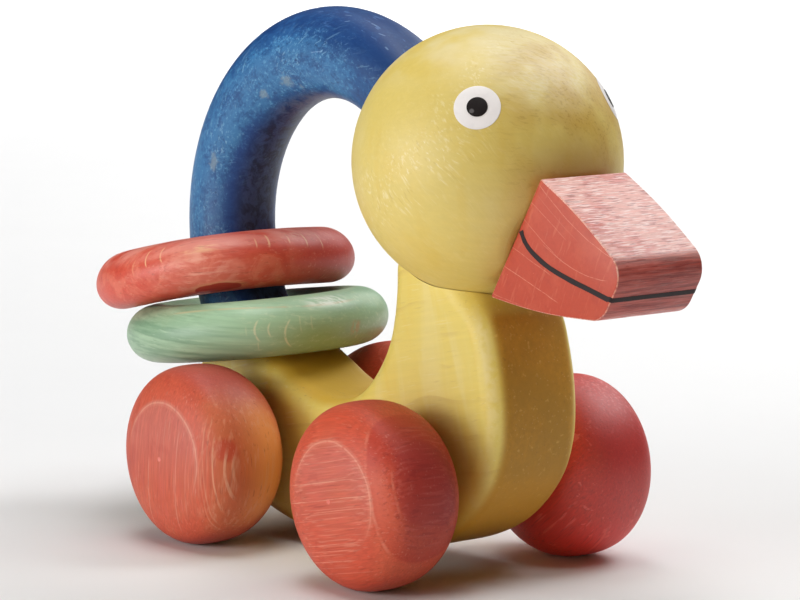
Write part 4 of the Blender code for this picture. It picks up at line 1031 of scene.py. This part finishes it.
def body_piece():
    out = body_outline()
    n = len(out)
    r, half, steps = BODY_EDGE_R, BODY_T / 2, 14
    inward = []
    for i in range(n):
        t = (out[(i + 1) % n] - out[(i - 1) % n]).normalized()
        inward.append(Vector((-t.y, t.x)))          # outline runs anticlockwise seen from -Y
    rows = []
    for k in range(steps + 1):
        a = (pi / 2) * k / steps
        rows.append((r * (1 - sin(a)), -(half - r * (1 - cos(a)))))
    rows += [(d, -y) for d, y in reversed(rows)]
    verts = []
    for d, y in rows:
        for p, m in zip(out, inward):
            q = p + m * d
            verts.append((q.x, y, q.y))
    faces = grid_faces(len(rows), n, close_n=False)
    faces.append(tuple(range(n)))
    faces.append(tuple(range(len(verts) - 1, len(verts) - 1 - n, -1)))
    o = obj_from("duck_body", verts, faces, YELLOW)
    outward(o)
    ball = uv_ball("cutter", HEAD_R + 0.12, HEAD, 128, 80, None)
    ta, td = handle_point(ARC_FROM), handle_dir(ARC_FROM)
    tail = block_at((60, 60, 30), ta + td * (15.0 - 0.15), td)
    front = rod_at(3.5, 40, Vector((FRONT_X, 0, AXLE_Z)), (0.0001, 1, 0))
    rear = rod_at(3.5, 40, Vector((REAR_X, 0, AXLE_Z)), (0.0001, 1, 0))
    subtract(o, ball, tail, front, rear)
    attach(o, "duck")
    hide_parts("body_block")
    return o


def uv_ball(name, radius, at, segs, rings, mat):
    prof = [(radius * sin(pi * k / rings), -radius * cos(pi * k / rings)) for k in range(rings + 1)]
    prof[0] = (0.0, -radius)
    prof[-1] = (0.0, radius)
    return revolve(name, prof, segs, ((1, 0, 0), (0, 1, 0), (0, 0, 1)), at, mat)


def head_piece():
    """Ball with the flat that the beak sits on, turned about the beak's line."""
    bd = beak_dir()
    x, y, z = axis_frame(bd)
    a_seat = acos(BEAK_SEAT / HEAD_R)
    flat_r = HEAD_R * sin(a_seat)
    prof = [(0.0, -HEAD_R)]
    rings = 110
    for k in range(1, rings + 1):
        a = (pi - a_seat) * k / rings
        prof.append((HEAD_R * sin(a), -HEAD_R * cos(a)))
    for f in (0.97, 0.7, 0.35):
        prof.append((flat_r * f, BEAK_SEAT))
    prof.append((0.0, BEAK_SEAT))
    o = revolve("duck_head", prof, 160, (x, y, z), HEAD, YELLOW_HEAD)
    # socket that follows the bent bar
    sock = arc_tube("cutter", 118.0, ARC_TO + 0.6, ARC_SEC_R + 0.14, ARC_SEC_Y + 0.14, 40, 96, None)
    subtract(o, sock)
    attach(o, "duck")
    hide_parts("head_ball")
    return o


# --------------------------------------------------------------- handle, rings
def arc_tube(name, a0, a1, sec_r, sec_y, steps, around, mat, wobble=0.0):
    verts = []
    for i in range(steps + 1):
        ang = a0 + (a1 - a0) * i / steps
        c = handle_point(ang)
        back = Vector((-cos(radians(ang)), 0, sin(radians(ang))))
        for k in range(around):
            t = 2 * pi * k / around
            n = back * cos(t) + Vector((0, 1, 0)) * sin(t)
            p = c + back * sec_r * cos(t) + Vector((0, 1, 0)) * sec_y * sin(t)
            if wobble:
                w = mnoise.noise(p * 0.045 + Vector((3.1, 0.7, 9.2))) * 0.7 + mnoise.noise(p * 0.11) * 0.3
                p = p - n * wobble * (0.5 + 0.5 * w)
            verts.append(p)
    faces = grid_faces(steps + 1, around, close_n=False)
    faces.append(tuple(range(around))[::-1])
    faces.append(tuple(range(steps * around, (steps + 1) * around)))
    o = obj_from(name, verts, faces, mat, sharp=40)
    outward(o)
    return o


def handle_piece():
    o = arc_tube("grasp_handle", ARC_FROM, ARC_TO, ARC_SEC_R, ARC_SEC_Y, 150, 96, BLUE, wobble=0.12)
    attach(o, "duck")
    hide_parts("arch_handle")
    return o


def ring_piece(name, at, tilt, mat, body, node, seed, cup=0.0, cup_dir=0.0):
    rot = Matrix.Rotation(radians(tilt[1]), 3, 'Y') @ Matrix.Rotation(radians(tilt[0]), 3, 'X')
    verts, nu, nv = [], 180, 56
    off = Vector((seed * 7.3, seed * 3.1, seed * 5.7))
    for i in range(nu):
        a = 2 * pi * i / nu
        e = Vector((cos(a), sin(a), 0))
        for k in range(nv):
            t = 2 * pi * k / nv
            p = e * (RING_R + RING_SEC_R * cos(t)) + Vector((0, 0, RING_SEC_H * sin(t)))
            n = e * cos(t) + Vector((0, 0, sin(t)))
            w = mnoise.noise(p * 0.06 + off)
            p = p - n * 0.10 * (0.5 + 0.5 * w)
            s = (p.x * cos(radians(cup_dir)) + p.y * sin(radians(cup_dir))) / (RING_R + RING_SEC_R)
            p.z -= cup * (s * s - 0.5)
            verts.append(at + rot @ p)
    o = obj_from(name, verts, grid_faces(nu, nv), mat)
    outward(o)
    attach(o, body)
    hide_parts(node)
    return o


# ----------------------------------------------------------------------- beak
def beak_outline(fine=8):
    seat = beak_dir()
    up = Vector((-seat.z, 0.0, seat.x))
    mid = HEAD + seat * (BEAK_SEAT + 0.12)
    top, low = mid + up * 12.8, mid - up * 13.3
    tip, chin, r = NOSE_TIP, NOSE_CHIN, NOSE_R
    pts = [Vector((top.x, top.z))]
    start = Vector((tip[0] + r * cos(radians(55)), tip[1] + r * sin(radians(55))))
    bow = (start - pts[0]).orthogonal().normalized()
    bow = bow if bow.y > 0 else -bow
    for k in range(1, 16):
        t = k / 16
        pts.append(pts[0].lerp(start, t) + bow * 0.55 * sin(pi * t))
    for m, a0, a1 in ((tip, 55.0, -NOSE_BACK), (chin, -NOSE_BACK, -92.0)):
        for k in range(fine * 2 + 1):
            a = radians(a0 + (a1 - a0) * k / (fine * 2))
            pts.append(Vector((m[0] + r * cos(a), m[1] + r * sin(a))))
    end, last = Vector((low.x, low.z)), pts[-1]
    for k in range(1, 16):
        t = k / 16
        pts.append(last.lerp(end, t) + Vector((0.0, -0.7 * sin(pi * t))))
    pts.append(end)
    return pts


def beak_piece():
    out = beak_outline()
    n = len(out)
    bm = bmesh.new()
    half = BEAK_T / 2
    face = bm.faces.new([bm.verts.new((p.x, -half, p.y)) for p in out])
    ext = bmesh.ops.extrude_face_region(bm, geom=[face])
    bmesh.ops.translate(bm, verts=[g for g in ext["geom"] if isinstance(g, bmesh.types.BMVert)],
                        vec=(0, BEAK_T, 0))
    bmesh.ops.recalc_face_normals(bm, faces=bm.faces[:])
    bmesh.ops.scale(bm, vec=(MM, MM, MM), verts=bm.verts[:])
    me = bpy.data.meshes.new("duck_beak")
    bm.to_mesh(me)
    bm.free()
    o = bpy.data.objects.new("duck_beak", me)
    bpy.context.scene.collection.objects.link(o)
    me.materials.append(BEAK_RED)
    m = o.modifiers.new("eased", 'BEVEL')
    m.limit_method, m.angle_limit = 'ANGLE', radians(50)
    m.width, m.segments, m.use_clamp_overlap = 0.45 * MM, 3, False
    bpy.context.view_layer.update()
    apply_modifiers(o)
    o.data.shade_smooth()
    o.data.set_sharp_from_angle(angle=radians(26))
    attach(o, "duck")
    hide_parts("beak")
    return o


def mouth_points(per=6):
    pts = [(51.5, 67.3), (52.4, 65.6), (54.4, 63.8), (58.5, 61.7), (64.0, 60.0),
           (69.5, 58.7), (74.8, 57.4)]
    out = []
    for i in range(len(pts) - 1):
        p0 = Vector(pts[max(i - 1, 0)])
        p1, p2 = Vector(pts[i]), Vector(pts[i + 1])
        p3 = Vector(pts[min(i + 2, len(pts) - 1)])
        for k in range(per):
            t = k / per
            out.append(0.5 * (2 * p1 + (p2 - p0) * t + (2 * p0 - 5 * p1 + 4 * p2 - p3) * t * t
                              + (3 * p1 - p0 - 3 * p2 + p3) * t ** 3))
    out.append(Vector(pts[-1]))
    return out


def mouth_piece():
    """One brush line: right side, over the nose, left side.  A thin closed film on the wood."""
    film, off = 0.05, 0.03
    side = mouth_points()
    lean = radians(-NOSE_BACK)
    out = Vector((cos(lean), 0, sin(lean)))
    up = Vector((-out.z, 0, out.x))
    base = Vector((NOSE_CHIN[0], 0, NOSE_CHIN[1])) + out * (NOSE_R + off)
    tip = base + up * ((side[-1].y - base.z) / up.z)
    half = BEAK_T / 2 + off
    path = []
    last = [p for p in side if p.x < tip.x - 0.5]
    for i, p in enumerate(last):
        a, b = last[max(i - 1, 0)], last[min(i + 1, len(last) - 1)]
        t = (b - a).normalized()
        path.append((Vector((p.x, -half, p.y)), Vector((0, -1, 0)), Vector((-t.y, 0, t.x))))
    # round the eased edge
    e = 0.45
    for k in range(5):
        a = (pi / 2) * k / 4
        n = (out * sin(a) + Vector((0, -1, 0)) * cos(a)).normalized()
        c = Vector((tip.x, 0, tip.z)) - out * (e + off)
        c.y = -(BEAK_T / 2 - e)
        path.append((c + n * (e + off), n, up))
    mid = []
    for k in range(1, 20):
        y = -(BEAK_T / 2 - e) + (BEAK_T - 2 * e) * k / 20
        mid.append((Vector((tip.x, y, tip.z)), out, up))
    mirror = [(Vector((p.x, -p.y, p.z)), Vector((n.x, -n.y, n.z)), a) for p, n, a in reversed(path)]
    total = path + mid + mirror
    verts = []
    for i, (p, n, a) in enumerate(total):
        w = 0.5 * (1.0 + 0.10 * mnoise.noise(Vector((i * 0.35, 0.3, 0.7))))
        w *= 1.15 if i < 3 or i > len(total) - 4 else 1.0
        for s, d in ((-1, 0), (-0.96, film * 0.8), (-0.5, film), (0.5, film), (0.96, film * 0.8), (1, 0)):
            verts.append(p + a * s * w + n * d)
    m = 6
    faces = grid_faces(len(total), m, close_n=False)
    faces.append(tuple(range(m))[::-1])
    faces.append(tuple(range(len(verts) - m, len(verts))))
    o = obj_from("mouth_stroke", verts, faces, MOUTH, sharp=45)
    outward(o)
    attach(o, "duck")
    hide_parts("mouth_line")
    return o


def eye_pieces():
    made = []
    for side, word in ((1, "left"), (-1, "right")):
        d = Vector((EYE_DIR[0], side * EYE_DIR[1], EYE_DIR[2])).normalized()
        x, y, z = axis_frame(d)
        for name, rad, lift, film, mat, node, slot in (
                ("eye_disc_", 4.2, 0.02, 0.06, WHITE, "eye_white_", "white_paint"),
                ("eye_spot_", 1.88, 0.09, 0.07, BLACK, "pupil_", "black_paint")):
            r0 = HEAD_R + lift
            prof = [(0.0, r0)]
            for k in range(1, 9):
                a = rad / HEAD_R * k / 8
                prof.append((r0 * sin(a), r0 * cos(a)))
            a = rad / HEAD_R
            for f, g in ((1.002, 0.4), (0.998, 0.75), (0.985, 0.95), (0.95, 1.0), (0.7, 1.0), (0.35, 1.0)):
                rr = r0 + film * g
                prof.append((rr * sin(a * f), rr * cos(a * f)))
            prof.append((0.0, r0 + film))
            o = revolve(name + word, prof, 72, (x, y, z), HEAD, mat, smooth_angle=60)
            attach(o, "duck")
            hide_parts(node + word)
            made.append(o)
    return made


# --------------------------------------------------------------------- wheels
def wheel_profile():
    mid = WHEEL_MID_Y - WHEEL_IN_Y
    flat = WHEEL_R * (1.0 - (mid / WHEEL_IN_T) ** WHEEL_IN_N) ** (1.0 / WHEEL_IN_N)
    pts = [(0.0, 0.05), (3.05, 0.05), (3.3, 0.0), (flat - 0.3, 0.0)]
    a0 = atan2(mid, flat)
    steps = 26
    for k in range(1, steps + 1):
        a = a0 * (1.0 - k / steps)
        r = min(WHEEL_R, WHEEL_R * cos(a) ** (2.0 / WHEEL_IN_N))
        h = WHEEL_IN_T * (1.0 - min(1.0, r / WHEEL_R) ** WHEEL_IN_N) ** (1.0 / WHEEL_IN_N)
        pts.append((r, mid - h))
    steps = 44
    for k in range(1, steps):
        a = (pi / 2) * k / steps
        r = WHEEL_R * cos(a) ** (2.0 / WHEEL_OUT_N)
        if r < 0.9:
            continue
        pts.append((r, mid + WHEEL_OUT_T * sin(a) ** (2.0 / WHEEL_OUT_N)))
    top = mid + WHEEL_OUT_T
    # dimple that the lathe's centre left
    pts += [(0.62, top - 0.01), (0.42, top - 0.05), (0.22, top - 0.17), (0.0, top - 0.24)]
    return pts


def wheel_piece(name, side, x, mat, body, node):
    o = revolve(name, wheel_profile(), 128, ((1, 0, 0), (0, 0, 1), (0, side, 0)),
                Vector((x, side * WHEEL_IN_Y, AXLE_Z)), mat)
    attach(o, body)
    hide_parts(node)
    return o


# ---------------------------------------------------------------------- build
body_piece()
head_piece()
beak_piece()
mouth_piece()
eye_pieces()
handle_piece()
ring_piece("ring_lower", GREEN_AT, GREEN_TILT, GREEN, "lower_ring", "ring_green", 1)
ring_piece("ring_upper", RED_AT, RED_TILT, RED_RING, "upper_ring", "ring_red", 2,
           RED_CUP, RED_CUP_DIR)
for word, x in (("front", FRONT_X), ("rear", REAR_X)):
    for side, hand in ((1, "left"), (-1, "right")):
        wheel_piece("roller_" + word + "_" + hand, side, x, RED[word, side], word + "_wheelset",
                    "wheel_" + word + "_" + hand)
for n in ("front_axle", "rear_axle", "neck_dowel", "beak_dowel", "tail_dowel"):
    NODES[n].data.materials.clear()
    NODES[n].data.materials.append(BARE)

# --------------------------------------------------------------------- studio
def area(name, az, el, dist, size, power, color=(1, 1, 1), aim=Vector((0, 0, 45)), size_y=None):
    a, e = radians(az), radians(el)
    back = Vector((sin(a) * cos(e), -cos(a) * cos(e), sin(e)))
    d = bpy.data.lights.new(name, 'AREA')
    d.shape = 'RECTANGLE'
    d.size, d.size_y = size, size_y or size
    d.energy = power
    d.color = color
    o = bpy.data.objects.new(name, d)
    bpy.context.scene.collection.objects.link(o)
    o.location = aim * MM + back * dist
    o.rotation_mode = 'QUATERNION'
    o.rotation_quaternion = (-back).to_track_quat('-Z', 'Y')
    return o


def floor():
    verts = [(-6000, -6000, 0), (6000, -6000, 0), (6000, 6000, 0), (-6000, 6000, 0)]
    g = Graph("floor_paper")
    p = g.coords()
    n = g.noise(p, 0.02, 3)
    col = g.mix(n, (0.79, 0.79, 0.79), (0.81, 0.81, 0.81))
    mat = g.finish(col, 0.8, specular=0.2)
    # the paper stays pale where the lamps no longer reach it
    g.bsdf.inputs["Emission Color"].default_value = (1.0, 1.0, 1.0, 1.0)
    g.put(g.bsdf.inputs["Emission Strength"], g.m('MULTIPLY', g.band(g.v("LENGTH", p), 700.0, 2600.0), 0.80))
    o = obj_from("floor", verts, [(0, 1, 2, 3)], mat, smooth=False)
    return o


floor()
area("key", -20, 3, 0.8, 0.40, 3.55)
area("key_high", 0, 16, 0.8, 0.45, 2.05)
area("warm_side", 66, 12, 0.8, 0.35, 0.42, color=(1.0, 0.66, 0.30))
area("top", 0, 84, 0.8, 0.36, 2.4)
area("right_high", 115, 62, 0.9, 0.3, 1.2)
area("back_high", 172, 62, 0.9, 0.35, 1.0)
area("back", 170, 47, 0.9, 0.35, 2.5)
area("back_low", 202, 25, 0.9, 0.45, 1.0)
area("behind", 230, 40, 2.2, 1.6, 1.0)
away = Vector((sin(radians(230)), -cos(radians(230)), 0.0)) * 1500
backdrop = area("backdrop", 0, 89, 1.2, 1.8, 13.4, aim=away)    # reaches only the paper behind
backdrop.data.spread = radians(90)

w = bpy.data.worlds.new("studio")
bpy.context.scene.world = w
w.use_nodes = True
w.node_tree.nodes["Background"].inputs[0].default_value = (1, 1, 1, 1)
w.node_tree.nodes["Background"].inputs[1].default_value = 0.0

bpy.context.scene.view_settings.view_transform = 'Standard'


# --------------------------------------------------------------------- camera
def camera():
    az, el, roll, dist = radians(50.50), radians(8.03), radians(0.32), 658.01
    back = Vector((sin(az) * cos(el), -cos(az) * cos(el), sin(el)))
    right = Vector((cos(az), sin(az), 0.0))
    up = back.cross(right)
    r2 = right * cos(roll) + up * sin(roll)
    u2 = -right * sin(roll) + up * cos(roll)
    cam = bpy.data.cameras.new("camera")
    cam.sensor_fit = 'HORIZONTAL'
    cam.sensor_width = 36.0
    cam.lens = 3460.20 / 800 * 36.0
    cam.clip_start, cam.clip_end = 0.01, 50.0
    o = bpy.data.objects.new("camera", cam)
    bpy.context.scene.collection.objects.link(o)
    at = (Vector((5.37, 0.0, 48.85)) + back * dist) * MM
    m = Matrix((r2, u2, back)).transposed().to_4x4()
    m.translation = at
    o.matrix_world = m
    bpy.context.scene.camera = o
    return o


camera()
